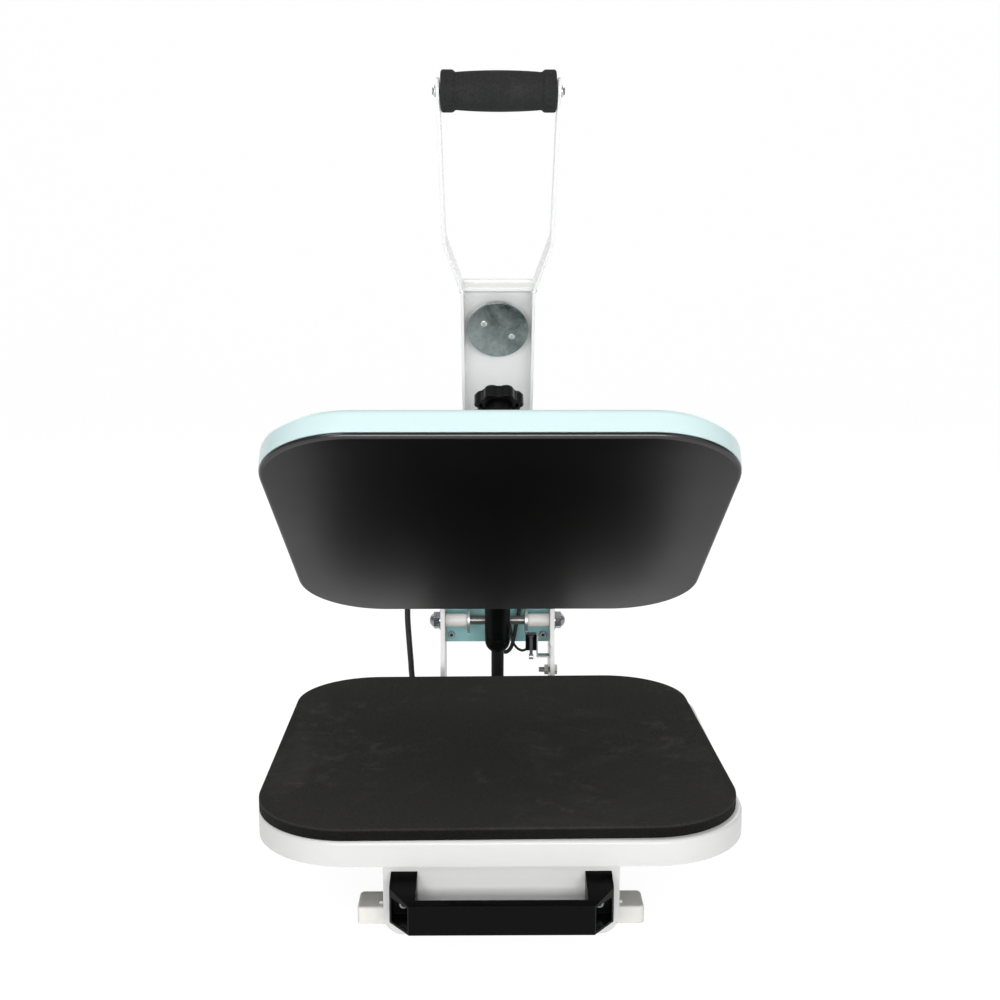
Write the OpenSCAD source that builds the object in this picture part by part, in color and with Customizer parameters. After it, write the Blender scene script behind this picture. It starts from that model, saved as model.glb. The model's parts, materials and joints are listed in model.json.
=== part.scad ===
// Flat heat press with a pull out lower plate, shown opened.
// X runs left to right, Y runs front to back, Z is up from the table.
// Heights named _h are above the top of the pad, with the press closed.

/* [Plates] */
// Side of the square heated plate
platen_w = 378; // [350:1:400]
// Corner radius of the heated plate
platen_r = 78; // [50:1:95]
// Thickness of the heated plate
platen_t = 12; // [8:0.5:14]
// Height that the heated plate stands out below its cover
platen_lip = 4.5; // [3:0.5:6]
// Rounding of the heated plate's lower edge
platen_edge = 2.5; // [1:0.5:2.5]
// Margin of the cover round the heated plate
cover_margin = 0.5; // [0.3:0.1:2]
// Height of the cover's wall
cover_h = 20.5; // [19:0.5:26]
// Sheet thickness of the cover
cover_wall = 1.5; // [1:0.1:2]
// Rounding of the cover's upper edge
cover_edge = 6; // [3:0.5:8]
// Margin of the lower plate round the pad
lower_margin = 2.5; // [2:0.5:6]
// Height of the lower plate's turned down rim
lower_rim = 20; // [12:1:21]
// Sheet thickness of the lower plate
lower_wall = 2; // [1.5:0.5:3]
// Rounding of the lower plate's upper edge
lower_edge = 3; // [2:0.5:4]
// Side of the soft pad
pad_w = 381; // [350:1:385]
// Corner radius of the soft pad
pad_r = 76; // [50:1:95]
// Thickness of the soft pad
pad_t = 10; // [6:0.5:14]
// Turn of the loose pad on the lower plate
pad_turn = 1; // [0:0.25:2]
// Sideways shift of the loose pad
pad_shift = -3.9; // [-5:0.1:5]

/* [Base] */
// Height of a foot
foot_h = 14; // [12:1:22]
// Depth of a foot
foot_d = 29; // [24:1:36]
// Width of a foot that stands out beside the tray
foot_out = 31; // [22:1:40]
// Width of a foot that lies under the tray
foot_in = 22; // [16:1:30]
// Height of the tray
tray_h = 46; // [44:1:60]
// Outside width of the tray
tray_w = 164; // [160:1:180]
// Front end of the tray
tray_front = -165; // [-170:1:-150]
// Distance from the link axle to the rear end of the tray
rear_run = 42; // [38:1:48]
// Sheet thickness of the tray and of the drawer frame
sheet = 2; // [1.5:0.5:2.5]
// Gap between the tray and the top of the drawer frame
drawer_lift = 5; // [3:1:8]
// Height of the posts that carry the lower plate
post_h = 21; // [21:1:30]
// Inside distance between the uprights
upright_gap = 117.4; // [112:0.2:130]
// Thickness of an upright
upright_t = 4.8; // [4:0.2:6]

/* [Drawer] */
// Width of the drawer front
front_w = 178; // [168:1:190]
// Height of the drawer front
front_h = 54.5; // [50:0.5:57]
// Thickness of the drawer front
front_t = 3; // [2:0.5:4]
// Lower corner radius of the drawer front
front_r = 15; // [8:1:20]
// Forward place of the drawer front's back face
front_y = -184; // [-188:1:-180]
// Thickness of a ball slide
rail_t = 12.7; // [12:0.1:13.5]
// Height of a ball slide
rail_h = 35; // [32:1:38]
// Length of a ball slide
rail_len = 350; // [300:10:360]
// Overall width of the pull
pull_w = 166; // [150:1:168]
// Reach of the pull in front of the drawer
pull_reach = 38; // [34:1:44]
// Height of the pull's bar
pull_h = 22.4; // [18:0.2:26]
// Thickness of the pull's bar
pull_t = 7; // [6:0.5:9]
// Width of a post of the pull
pull_post = 20; // [18:1:24]

/* [Mechanism] */
// Opening angle of the heated plate
open_angle = 33.44; // [31:0.02:35]
// Angle of the opened handle above the level
handle_angle = 62.1; // [59:0.1:64]
// Distance of the main hinge behind the plate's centre
hinge_y = 303.6; // [302:0.2:308]
// Height of the main hinge
hinge_h = 99.1; // [97:0.1:102]
// Distance of the link axle behind the plate's centre
axle_y = 308; // [306:0.5:310]
// Height of the link axle
axle_h = 29.4; // [26:0.1:32]
// Distance of the handle pivot behind the plate's centre
pivot_y = 308; // [307:0.5:311]
// Height of the handle pivot
pivot_h = 165; // [162:0.5:168]
// Diameter of the main shaft and of the link axle
shaft_d = 10; // [8:0.5:12]
// Diameter of a nylon spacer
spacer_d = 15; // [13:0.5:16]
// Outside width of the lift arm
arm_w = 61; // [58:0.5:61]
// Sheet thickness of the lift arm
arm_t = 4; // [3:0.5:4.5]
// Thickness of a link
link_t = 3; // [2.5:0.25:3.5]
// Width of a link
link_w = 19; // [16:1:20]
// Depth of the bow of a link
link_bow = 24; // [22:1:28]
// Diameter of a link pin
link_pin_d = 8; // [6:0.5:10]
// Diameter of the gas spring's cylinder
gas_d = 28; // [24:1:28]
// Diameter of the gas spring's rod
gas_rod_d = 14; // [10:1:14]
// Diameter of the pins of the gas spring
gas_pin_d = 8; // [6:1:10]

/* [Pressure] */
// Diameter of the pressure spindle
spindle_d = 16; // [12:1:18]
// Diameter of the star knob
knob_d = 45.5; // [42:0.5:50]
// Height of the star knob's head
knob_h = 12; // [11:1:20]
// Length of the hub under the knob's head
knob_hub = 22; // [12:1:23]
// Height of the knob's top above the pad, closed
knob_top = 140.5; // [137:0.5:150]
// Travel of the pressure adjustment
lift_travel = 6; // [4:1:6]
// Diameter of the electromagnet
magnet_d = 60; // [50:1:60]
// Height of the electromagnet
magnet_h = 30; // [24:1:30]
// Distance of the electromagnet behind the plate's centre
magnet_y = 71.5; // [68:0.5:76]

/* [Handle] */
// Sheet thickness of the handle channel and bars
handle_t = 3; // [2.5:0.25:3.5]
// Depth of the handle channel's flanges
channel_d = 33; // [30:1:36]
// Distance from the armature disc to the bars' lower bend
bend_low = 48; // [42:1:54]
// Distance from the armature disc to the bars' upper bend
bend_high = 100; // [88:1:106]
// Distance from the armature disc to the grip's axis
grip_out = 245.7; // [220:1:260]
// Outside width of the bars at the upper bend
bars_w = 108.5; // [100:0.5:112]
// Outside width of the bars at the grip
grip_w = 113; // [110:0.5:120]
// Width of a handle bar
bar_d = 24; // [20:1:28]
// Diameter of the grip at its ends
grip_end_d = 37.5; // [36:0.5:42]
// Diameter of the grip at its neck
grip_neck_d = 33.2; // [30:0.1:35]
// Diameter of the grip at its middle
grip_mid_d = 36.2; // [35:0.1:39]
// Diameter of the tube in the grip
core_d = 20; // [16:1:22]
// Diameter of the armature disc
disc_d = 63; // [56:1:64]
// Thickness of the armature disc
disc_t = 5; // [4:0.5:7]
// Drop of the armature disc's face below the handle pivot
disc_drop = 10; // [8:0.5:12]

/* [Control box] */
// Width of the control box
box_w = 250; // [236:1:260]
// Depth of the control box
box_d = 80; // [70:1:95]
// Height of the control box at its back
box_h = 150; // [130:1:160]
// Height of the control box at its front
box_front_h = 110; // [100:1:120]
// Depth of the sloping face
slope_d = 48; // [44:1:54]
// Height of the control box's floor
box_floor_h = 50; // [48:1:60]
// Gap between the tray's rear end and the control box
box_gap = 14; // [12:1:18]
// Distance of the cord gland from the left wall of the control box
gland_in = 17.5; // [14:0.5:30]
// Sheet thickness of the control box
box_wall = 1.5; // [1:0.25:2]
// Diameter of a button
button_d = 9; // [7:0.5:11]
// Travel of a button
button_travel = 1.5; // [1:0.1:2]

/* [Cord] */
// Diameter of the mains cord
cord_d = 7; // [6.6:0.1:7]
// Clear gap between the turns of the coil
coil_gap = 0.6; // [0.5:0.1:1]
// Inner radius of the coil's middle line
coil_r = 28; // [27:1:32]
// Turns in each layer of the coil
coil_turns = 3; // [2:1:3]

/* [Hidden] */
$fn = 64;
tiny = 0.01;

// Running clearances
gap = 0.35;
pin_gap = 0.05;
link_loose = 1.2;
gas_loose = 1.8;

// Heights of the stack under the pad
tray_z = foot_h;
drawer_z = tray_z + tray_h + drawer_lift;
lower_z = drawer_z + post_h;
pad_top = lower_z + lower_wall + pad_t;

// Drawer widths inside the tray
drawer_w = tray_w - 2 * sheet - 2 * rail_t;
rail_z = tray_z + sheet + 5.5;

// Rear of the tray and front of the control box, both placed from the link axle
tray_rear = axle_y + rear_run;
box_y = tray_rear + box_gap;

// Places of the uprights' parts, from the link axle: front edge, foot bolts, stop bolt and rear plate
upright_front = axle_y - 44;
bolt_y = [axle_y - 24, axle_y + 22];
bolt_out = upright_gap / 2 + 13;
stop_y = axle_y - 8;
plate_y = axle_y + 29;

// Front and rear ends of the whole press, and the middle between them
bar_y = front_y - front_t - pull_reach;
back_y = box_y + box_d;
middle_y = (bar_y + back_y) / 2;

// Hinges, each as a place in Y and Z
hinge = [hinge_y, pad_top + hinge_h];
axle = [axle_y, pad_top + axle_h];
pivot = [pivot_y, pad_top + pivot_h];

// Turns a vector in Y and Z so that its front rises
function turned(v, a) = [v.x * cos(a) + v.y * sin(a), v.y * cos(a) - v.x * sin(a)];
// Direction of a vector, counted up from the front
function heading(v) = atan2(v.y, -v.x);

// Handle pivot opened, and the crank that makes the toggle straight when closed
pivot_open = hinge + turned(pivot - hinge, open_angle);
reach_closed = norm(axle - pivot);
reach_open = norm(axle - pivot_open);
swing = handle_angle - (heading(axle - pivot_open) - heading(axle - pivot));
crank = (reach_closed ^ 2 - reach_open ^ 2) / (2 * (reach_closed - reach_open * cos(swing)));
link_len = reach_closed - crank;
crank_pin = pivot + (axle - pivot) * crank / reach_closed;
crank_pin_open = pivot_open + turned(crank_pin - pivot, handle_angle);
link_turn = heading(crank_pin_open - axle) - heading(crank_pin - axle);

// Pins of the gas spring
gas_top = [hinge_y - 68.6, pad_top + 112];
gas_top_open = hinge + turned(gas_top - hinge, open_angle);
gas_foot = [axle_y - 10, tray_z + sheet + 14];
gas_len_open = norm(gas_top_open - gas_foot);
gas_len_closed = norm(gas_top - gas_foot);
gas_lean = 90 - heading(gas_top_open - gas_foot);
gas_nose = 72.4;
gas_eye = 12;

// Platen stack, counted up from the heated face
cover_top = platen_lip + cover_h;
hanger_t = 4;
element_d = 6;
element_lift = 0.3;

// Lift arm heights
arm_front_top = 100;
arm_web_top = pivot_h - disc_drop - magnet_h - gap;
arm_low = 50;
arm_front = -32;

// Handle channel
channel_in = arm_w + 2 * (gap + link_t + gap);
channel_out = channel_in + 2 * handle_t;
web_in = 8;
disc_s = pivot_y - magnet_y;
channel_end = disc_s + bend_low;
web_end = channel_end - 2.3;

// Control box places
floor_z = pad_top + box_floor_h;
slope_rise = box_h - box_front_h;
slope_angle = atan2(slope_rise, slope_d);
slope_len = norm([slope_d, slope_rise]);
slope_mid = [box_y + slope_d / 2, floor_z + box_front_h + slope_rise / 2];
button_x = [14, 32, 50, 68];
stem_d = 5;
rocker_tilt = 7;
board_drop = 14;

// Feet in Y, each pair by its middle
feet_y = [tray_front + 29.5, tray_rear - 24.5];

// Cord: where it leaves the gland, and the route of its free stretch
gland_x = gland_in - box_w / 2;
gland_y = box_y + 36;
gland_len = 30;
coil_x = 4;
coil_y = 414;
coil_pitch = cord_d + coil_gap;
coil_out = coil_r + coil_turns * coil_pitch;
cord_points = [
    [gland_x, gland_y, floor_z - 29], [gland_x, gland_y, floor_z - 43], [-106.6, 400, 88], [-105.3, 400.1, 68],
    [-104.2, 400.4, 52], [-103.5, 401, 38], [-101.8, 402.9, 25], [-96.8, 408.4, 14], [-89.4, 416.5, 6.6],
    [-80.7, 426.2, 4.0], [-70, 437.2, 3.7], [-58, 448, 3.6], [-44.5, 458, 3.6], [-29, 466, 3.6],
    [-12.5, 470.5, 3.55]];

// Shifts a piece from the plate's centre to the middle of the press
module placed() {
    translate([0, -middle_y, 0]) children();
}

// Opens a piece of the lift arm that is drawn closed
module opened() {
    translate([0, hinge.x, hinge.y]) rotate([-open_angle, 0, 0]) translate([0, -hinge.x, -hinge.y])
        children();
}

// Opens a piece of the handle that is drawn closed, level and pointing forward
module swung() {
    translate([0, pivot_open.x, pivot_open.y]) rotate([-handle_angle, 0, 0])
        translate([0, -pivot.x, -pivot.y]) children();
}

// Draws a plate from a Y and Z outline, standing between two X places
module side_plate(x, t) {
    translate([x, 0, 0]) rotate([90, 0, 90]) linear_extrude(t) children();
}

// The same plate on both sides
module both_sides(x, t) {
    side_plate(x, t) children();
    side_plate(-x - t, t) children();
}

// A round bar along X
module bar_x(x, p, d, len) {
    translate([x, p.x, p.y]) rotate([0, 90, 0]) cylinder(d = d, h = len);
}

// A dot in a Y and Z outline
module dot(p, r) {
    translate(p) circle(r);
}

// A flat outline of a rectangle with round corners
module round_rect(w, d, r) {
    square([w - 2 * r, d], center = true);
    square([w, d - 2 * r], center = true);
    for (x = [-1, 1], y = [-1, 1]) translate([x * (w / 2 - r), y * (d / 2 - r)]) circle(r);
}

// Profile of a shell from the middle of its corner outwards: wall, round edge and top
module shell_profile(h, r, e, t) {
    difference() {
        union() {
            square([r - e, h]);
            square([r, h - e]);
            translate([r - e, h - e]) intersection() {
                circle(e, $fn = 32);
                square(e + 1);
            }
        }
        if (t > 0 && e > t) {
            translate([-1, -1]) square([r - e + 1, h - t + 1]);
            translate([-1, -1]) square([r - t + 1, h - e + 1]);
            translate([r - e - tiny, h - e - tiny]) intersection() {
                circle(e - t, $fn = 32);
                square(e + 1);
            }
        }
        if (t > 0 && e <= t) translate([-1, -1]) square([r - t + 1, h - t + 1]);
    }
}

// A shell with round corners, a rounded upper edge and wall t, or a solid slab where t is 0
module shell(w, d, h, r, e, t) {
    for (k = [0 : 3]) {
        sx = k == 0 || k == 3 ? 1 : -1;
        sy = k < 2 ? 1 : -1;
        across = k % 2 == 0 ? d : w;
        along = k % 2 == 0 ? w : d;
        translate([sx * (w / 2 - r), sy * (d / 2 - r), 0]) rotate(90 * k)
            rotate_extrude(angle = 90) shell_profile(h, r, e, t);
        rotate(90 * k) translate([along / 2 - r, across / 2 - r, 0]) rotate([90, 0, 0])
            linear_extrude(across - 2 * r) shell_profile(h, r, e, t);
    }
    translate([r - w / 2, r - d / 2, t > 0 ? h - t : 0]) cube([w - 2 * r, d - 2 * r, t > 0 ? t : h]);
}

module soft_slab(w, d, h, r, e) shell(w, d, h, r, e, 0);

// A hexagonal bolt head or nut lying along X
module hex_x(x, p, af, len) {
    translate([x, p.x, p.y]) rotate([0, 90, 0]) cylinder(d = af / cos(30), h = len, $fn = 6);
}

// Base tray: a floor, two walls that drop behind the drawer, and tabs for the feet
module base_tray() {
    step_y = rail_len + tray_front + 20;
    color("white") placed() difference() {
        union() {
            translate([-tray_w / 2, tray_front, tray_z]) cube([tray_w, tray_rear - tray_front, sheet]);
            both_sides(tray_w / 2 - sheet, sheet) polygon([
                [tray_front, tray_z], [tray_rear, tray_z], [tray_rear, tray_z + tray_h - 14],
                [step_y + 40, tray_z + tray_h - 14], [step_y, tray_z + tray_h], [tray_front, tray_z + tray_h]]);
            for (x = [-1, 1], y = feet_y)
                translate([x * (tray_w / 2 + 6) - 8, y - 8, tray_z]) cube([16, 16, sheet]);
        }
        for (x = [-1, 1], y = feet_y)
            translate([x * (tray_w / 2 + 7), y, tray_z - 1]) cylinder(d = 4.4, h = sheet + 2);
        for (x = [-1, 1], y = bolt_y)
            translate([x * bolt_out, y, tray_z - 1]) cylinder(d = 6.4, h = sheet + 2);
    }
}

// Four feet that stand out beside the tray
module rubber_feet() {
    w = foot_in + foot_out;
    color("gainsboro") placed() for (x = [-1, 1], y = feet_y) difference() {
        translate([x * (tray_w / 2 - foot_in + w / 2), y, 0]) soft_slab(w, foot_d, foot_h, 4, 2);
        translate([x * (tray_w / 2 + 7), y, foot_h - 9]) cylinder(d = 3.6, h = 10);
    }
}

// Outline of an upright
module upright_outline() {
    top = floor_z + box_front_h - 22;
    difference() {
        union() {
            polygon([
                [upright_front, tray_z + sheet], [tray_rear - 2, tray_z + sheet], [tray_rear - 2, pad_top - 20],
                [tray_rear - 2, floor_z - 12], [box_y, floor_z + 4], [box_y, top], [hinge.x + 4, hinge.y + 21],
                [hinge.x - 20, hinge.y], [axle.x - 22, axle.y - 4], [upright_front + 10, 70]]);
            dot(hinge, 21);
            dot([axle.x - 4, axle.y], 18);
        }
        dot(hinge, shaft_d / 2 + pin_gap);
        dot(axle, shaft_d / 2 + pin_gap);
    }
}

// One upright: its plate, the foot flange and the flange that carries the control box
module upright(side) {
    x = upright_gap / 2;
    flange = tray_w / 2 - sheet - x - 1;
    color("white") placed() difference() {
        union() {
            side_plate(side > 0 ? x : -x - upright_t, upright_t) upright_outline();
            translate([side > 0 ? x : -x - flange, upright_front, tray_z + sheet])
                cube([flange, tray_rear - 2 - upright_front, upright_t]);
            translate([side > 0 ? x : -x - 26, box_y - upright_t, floor_z + 4])
                cube([26, upright_t, box_front_h - 26]);
            translate([side > 0 ? x - 10 : -x, plate_y, pad_top - 2.5]) cube([10, 3, 44.5]);
        }
        for (y = bolt_y) translate([side * bolt_out, y, tray_z]) cylinder(d = 6.4, h = 20);
        translate([side * (x - 6), plate_y - 4, pad_top + 5.5]) rotate([-90, 0, 0]) cylinder(d = 4.4, h = 12);
        if (side > 0) bar_x(x - 1, [stop_y, pad_top - 26], 6.2, upright_t + 2);
    }
}

module left_upright() upright(-1);
module right_upright() upright(1);

// Main shaft of the lift arm
module hinge_shaft() {
    len = upright_gap + 2 * upright_t;
    color("dimgray") placed() bar_x(-len / 2 - 9, hinge, shaft_d, len + 18);
}

// Axle of the two links
module link_axle() {
    len = upright_gap + 2 * upright_t;
    color("dimgray") placed() bar_x(-len / 2 - 9, axle, shaft_d, len + 18);
}

// Domed nut on the end of a shaft, pointing out to one side
module acorn_nut(side, p) {
    x = upright_gap / 2 + upright_t + 0.05;
    translate([side * x, p.x, p.y]) rotate([0, side * 90, 0]) difference() {
        union() {
            cylinder(d = 22, h = 1.6);
            cylinder(d = 17 / cos(30), h = 8, $fn = 6);
            translate([0, 0, 8 - tiny]) intersection() {
                translate([0, 0, -4]) sphere(r = 8.9);
                cylinder(r = 8, h = 6);
            }
        }
        translate([0, 0, -1]) cylinder(d = shaft_d + 2 * pin_gap, h = 10.2);
    }
}

module acorn_nuts() {
    color("silver") placed() for (side = [-1, 1]) {
        acorn_nut(side, hinge);
        acorn_nut(side, axle);
    }
}

// Nylon spacers that keep the arm and the links in the middle
module nylon_spacers() {
    color("whitesmoke") placed() for (side = [-1, 1]) {
        spacer(side, hinge, arm_w / 2 + gap);
        spacer(side, axle, arm_w / 2 + gap + link_t + gap);
    }
}

module spacer(side, p, from) {
    len = upright_gap / 2 - from - 0.1;
    translate([side * from, p.x, p.y]) rotate([0, side * 90, 0]) difference() {
        cylinder(d = spacer_d, h = len);
        translate([0, 0, -1]) cylinder(d = shaft_d + 2 * pin_gap, h = len + 2);
    }
}

// Screw with a round head, pointing down, its seat at the origin
module round_screw(d, len, head_d, head_h) {
    translate([0, 0, -len]) cylinder(d = d, h = len + tiny);
    intersection() {
        translate([0, 0, head_h - head_d * 0.62]) sphere(d = head_d * 1.24);
        cylinder(d = head_d, h = head_h);
    }
}

// Screws of the frame: uprights, feet, rear plate and the stop bolt
module frame_screws() {
    x = upright_gap / 2;
    color("silver") placed() {
        for (side = [-1, 1]) {
            for (y = bolt_y) translate([side * bolt_out, y, tray_z + sheet + upright_t + 0.05]) {
                cylinder(d = 10 / cos(30), h = 4, $fn = 6);
                translate([0, 0, -sheet - upright_t + 0.5]) cylinder(d = 6, h = sheet + upright_t);
            }
            for (y = feet_y) translate([side * (tray_w / 2 + 7), y, tray_z + sheet + 0.05])
                round_screw(3.4, 8, 8, 3);
            translate([side * (x - 6), plate_y - 2.1, pad_top + 5.5]) rotate([90, 0, 0])
                round_screw(4, 5, 8.5, 3.4);
        }
        hex_x(x + upright_t + 0.05, [stop_y, pad_top - 26], 10, 4);
        bar_x(x - 12, [stop_y, pad_top - 26], 6, 12 + upright_t + 0.1);
        hex_x(x - 6, [stop_y, pad_top - 26], 10, 5);
    }
}

// Plate between the uprights, behind the link axle
module rear_plate() {
    w = upright_gap - 0.6;
    color("paleturquoise") placed() translate([0, plate_y - tiny, pad_top - 3]) rotate([90, 0, 0])
        linear_extrude(2) difference() {
            translate([-w / 2, 0]) square([w, 46]);
            for (x = [-1, 1]) translate([x * (upright_gap / 2 - 6), 8.5]) circle(d = 4.4);
        }
}

// Outline of the control box from its side
module box_outline(in) {
    offset_y = box_y + in;
    polygon([
        [offset_y, floor_z + in], [back_y, floor_z + in], [back_y, floor_z + box_h - in],
        [box_y + slope_d + in * 0.36, floor_z + box_h - in],
        [offset_y, floor_z + box_front_h - in * 0.46]]);
}

// Puts a piece on the sloping face: X to the right, Y up the slope, Z out of it
module on_slope() {
    translate([0, slope_mid.x, slope_mid.y]) rotate([slope_angle, 0, 0]) children();
}

// Sheet shell of the control box, open at its back
module control_box() {
    color("paleturquoise") placed() difference() {
        side_plate(-box_w / 2, box_w) box_outline(0);
        side_plate(-box_w / 2 + box_wall, box_w - 2 * box_wall) box_outline(box_wall);
        translate([-box_w / 2 + box_wall, back_y - 1, floor_z + box_wall])
            cube([box_w - 2 * box_wall, 2, box_h - 2 * box_wall]);
        on_slope() translate([0, 0, -6]) linear_extrude(12) round_rect(166, slope_len - 20, 4);
        translate([gland_x, gland_y, floor_z - 1]) cylinder(d = 16.4, h = 4);
        translate([box_w / 2 - 4, back_y - 55, floor_z + 40]) cube([8, 28, 20]);
        translate([16.5, box_y - 1, floor_z + 11]) rotate([-90, 0, 0]) cylinder(d = 12, h = 4);
    }
}

// Plate that closes the back of the control box, with vents
module control_back() {
    t = 1.2;
    w = box_w - 2 * box_wall - 0.4;
    h = box_h - 2 * box_wall - 0.4;
    color("paleturquoise") placed() translate([0, back_y, floor_z + box_h / 2]) rotate([90, 0, 0])
        linear_extrude(t) difference() {
            round_rect(w, h, 1);
            for (x = [-70 : 20 : 70], y = [-24, 24]) translate([x, y]) round_rect(4, 30, 1.9);
        }
}

// Dark plate on the sloping face, with the display's window and the button holes
module control_panel() {
    color("dimgray") placed() on_slope() translate([0, 0, 0.05]) difference() {
        linear_extrude(1.6) round_rect(178, slope_len - 8, 6);
        translate([0, 0, -1]) linear_extrude(4) {
            translate([-40, 0]) round_rect(66, 26, 2);
            for (x = button_x) translate([x, 0]) circle(d = button_d + 2 * gap);
        }
    }
}

// Window over the number display
module display_window() {
    color("darkred") placed() on_slope() translate([-40, 0, 0.4]) linear_extrude(1) round_rect(65.4, 25.4, 2);
}

// One push button with its stem
module button(x) {
    color("lightgray") placed() on_slope() translate([x, 0, 0]) {
        cylinder(d = button_d, h = 3.4);
        translate([0, 0, -2]) cylinder(d = button_d + 3, h = 1.6);
        translate([0, 0, 0.3 - board_drop + button_travel + 3]) cylinder(d = stem_d, h = board_drop - 6);
        translate([0, 0, -0.41]) cylinder(d = button_d, h = 0.42);
    }
}

module button_timer() button(button_x[0]);
module button_heat() button(button_x[1]);
module button_up() button(button_x[2]);
module button_down() button(button_x[3]);

// Housing of the power switch, in the right wall of the control box
module rocker_housing() {
    c = [box_w / 2, back_y - 41, floor_z + 50];
    color("dimgray") placed() difference() {
        union() {
            translate(c + [0.05, -16, -12]) cube([2, 32, 24]);
            translate(c + [-20, -13.7, -9.7]) cube([20.1, 27.4, 19.4]);
        }
        translate(c + [-14, -11, -7]) cube([18, 22, 14]);
        translate(c - [0, 0, 9.2]) cylinder(d = 3 + 2 * pin_gap, h = 18.4);
    }
}

// Paddle of the power switch on its own pin
module rocker() {
    c = [box_w / 2, back_y - 41, floor_z + 50];
    color("black") placed() {
        translate(c) rotate(rocker_tilt) rocker_body();
        translate(c - [0, 0, 9]) cylinder(d = 3, h = 18);
    }
}

// Paddle drawn level, turning about Z
module rocker_body() {
    translate([0, 0, -6.6]) linear_extrude(13.2)
        polygon([[-2.4, -10.2], [2, -10.2], [0.6, 0], [2, 10.2], [-2.4, 10.2], [-5.5, 2], [-5.5, -2]]);
}

// Circuit board with its relay, parallel to the sloping face, and the transformer
module circuit_board() {
    transformer();
    color("darkgreen") placed() on_slope() translate([0, 0, -board_drop - 1.6]) {
        linear_extrude(1.6) round_rect(160, slope_len - 24, 2);
        translate([-70, -12, -15.9]) cube([19, 16, 16]);
        translate([-40, -10, -8.9]) cube([30, 14, 9]);
        for (x = [-76, 76], y = [-14, 14]) translate([x, y, 1.6 - tiny]) cylinder(d = 5, h = board_drop - 0.1);
    }
}

// Transformer on the floor of the control box
module transformer() {
    color("saddlebrown") placed() translate([50, box_y + 36, floor_z + box_wall + 0.05]) {
        translate([-24, -16, 0]) cube([48, 32, 34]);
        translate([-15, -22, 4]) cube([30, 44, 26]);
        for (x = [-1, 1]) translate([x * 30 - 8, -10, 0]) cube([16, 20, 1.5]);
    }
}

// Gland that lets the cord out through the floor of the control box
module cord_gland() {
    color("black") placed() translate([gland_x, gland_y, floor_z]) difference() {
        union() {
            translate([0, 0, -4.05]) cylinder(d = 22, h = 4);
            translate([0, 0, -0.1]) cylinder(d = 16, h = box_wall + 0.6);
            translate([0, 0, box_wall + 0.1]) cylinder(d = 20, h = 4);
            translate([0, 0, -gland_len]) cylinder(d1 = cord_d + 3, d2 = 15, h = gland_len - 4);
        }
        translate([0, 0, -gland_len - 1]) cylinder(d = cord_d + 0.02, h = gland_len + 10);
    }
}

// Unit vector, or a plain one where there is no length
function unit(v) = norm(v) > 0 ? v / norm(v) : [0, 0, 1];

// Rings of a tube swept along points, carried without twist from ring to ring
function tangent(p, i) = unit(p[min(i + 1, len(p) - 1)] - p[max(i - 1, 0)]);
function carried(p, i, u) = unit(u - (u * tangent(p, i)) * tangent(p, i));
function frames(p, u, i = 0) =
    i == len(p) ? [] : let (w = carried(p, i, u)) concat([w], frames(p, w, i + 1));

module tube(p, d, sides, start = [1, 0, 0]) {
    n = len(p);
    f = frames(p, start);
    rings = [for (i = [0 : n - 1], k = [0 : sides - 1])
        let (t = tangent(p, i), a = 360 * k / sides)
        p[i] + d / 2 * (cos(a) * f[i] + sin(a) * cross(t, f[i]))];
    walls = [for (i = [0 : n - 2], k = [0 : sides - 1], h = [0, 1])
        let (a = i * sides + k, b = i * sides + (k + 1) % sides)
        h == 0 ? [a, b + sides, b] : [a, a + sides, b + sides]];
    caps = [for (k = [1 : sides - 2], h = [0, 1])
        h == 0 ? [0, k, k + 1] : [(n - 1) * sides, (n - 1) * sides + k + 1, (n - 1) * sides + k]];
    polyhedron(points = rings, faces = concat(walls, caps), convexity = 10);
}

// A smooth run through a list of points, by a cubic between each pair
function smooth_at(p, i, t) =
    let (a = p[max(i - 1, 0)], b = p[i], c = p[i + 1], d = p[min(i + 2, len(p) - 1)])
    0.5 * (2 * b + (c - a) * t + (2 * a - 5 * b + 4 * c - d) * t ^ 2 + (3 * b - a - 3 * c + d) * t ^ 3);
function smooth(p, steps) = concat(
    [for (i = [0 : len(p) - 2], k = [0 : steps - 1]) smooth_at(p, i, k / steps)], [p[len(p) - 1]]);

// Middle line of the coil: in along the lower layer, up, and out along the upper one
coil_steps = 24;
coil_start = 81;
coil_dip = 1.2;
coil_all = 2 * coil_turns + 0.5;
function coil_radius(t) =
    t < coil_turns ? coil_out - coil_pitch * t :
    t < coil_turns + 0.5 ? coil_r - coil_dip * sin(360 * (t - coil_turns)) :
    coil_r + coil_pitch * (t - coil_turns - 0.5);
function coil_rise(t) =
    let (u = min(1, max(0, (t - coil_turns) * 2))) coil_pitch * (1 - cos(180 * u)) / 2;
function coil_point(t) =
    let (a = coil_start - 360 * t)
    [coil_x + coil_radius(t) * cos(a), coil_y + coil_radius(t) * sin(a), cord_d / 2 + coil_rise(t)];
coil_line = [for (i = [0 : coil_steps * coil_all]) coil_point(i / coil_steps)];
coil_in = coil_line[0];
coil_end = coil_line[len(coil_line) - 1];

// Directions in which the coil's two ends run straight on
function flat(v) = unit([v.x, v.y, 0]);
coil_in_way = flat(coil_line[0] - coil_line[1]);
coil_out_way = flat(coil_end - coil_line[len(coil_line) - 2]);
coil_path = concat([coil_in + coil_in_way * cord_d], coil_line, [coil_end + coil_out_way * cord_d]);
cord_end = coil_path[0];
plug_seat = coil_path[len(coil_path) - 1];

// Least clear gap between turns of the coil, measured on its points
coil_gaps = [for (i = [0 : len(coil_line) - 1], j = [0 : len(coil_line) - 1])
    if (j > i + coil_steps / 2) norm(coil_line[i] - coil_line[j]) - cord_d];
echo(least_coil_gap = min(coil_gaps));

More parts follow.
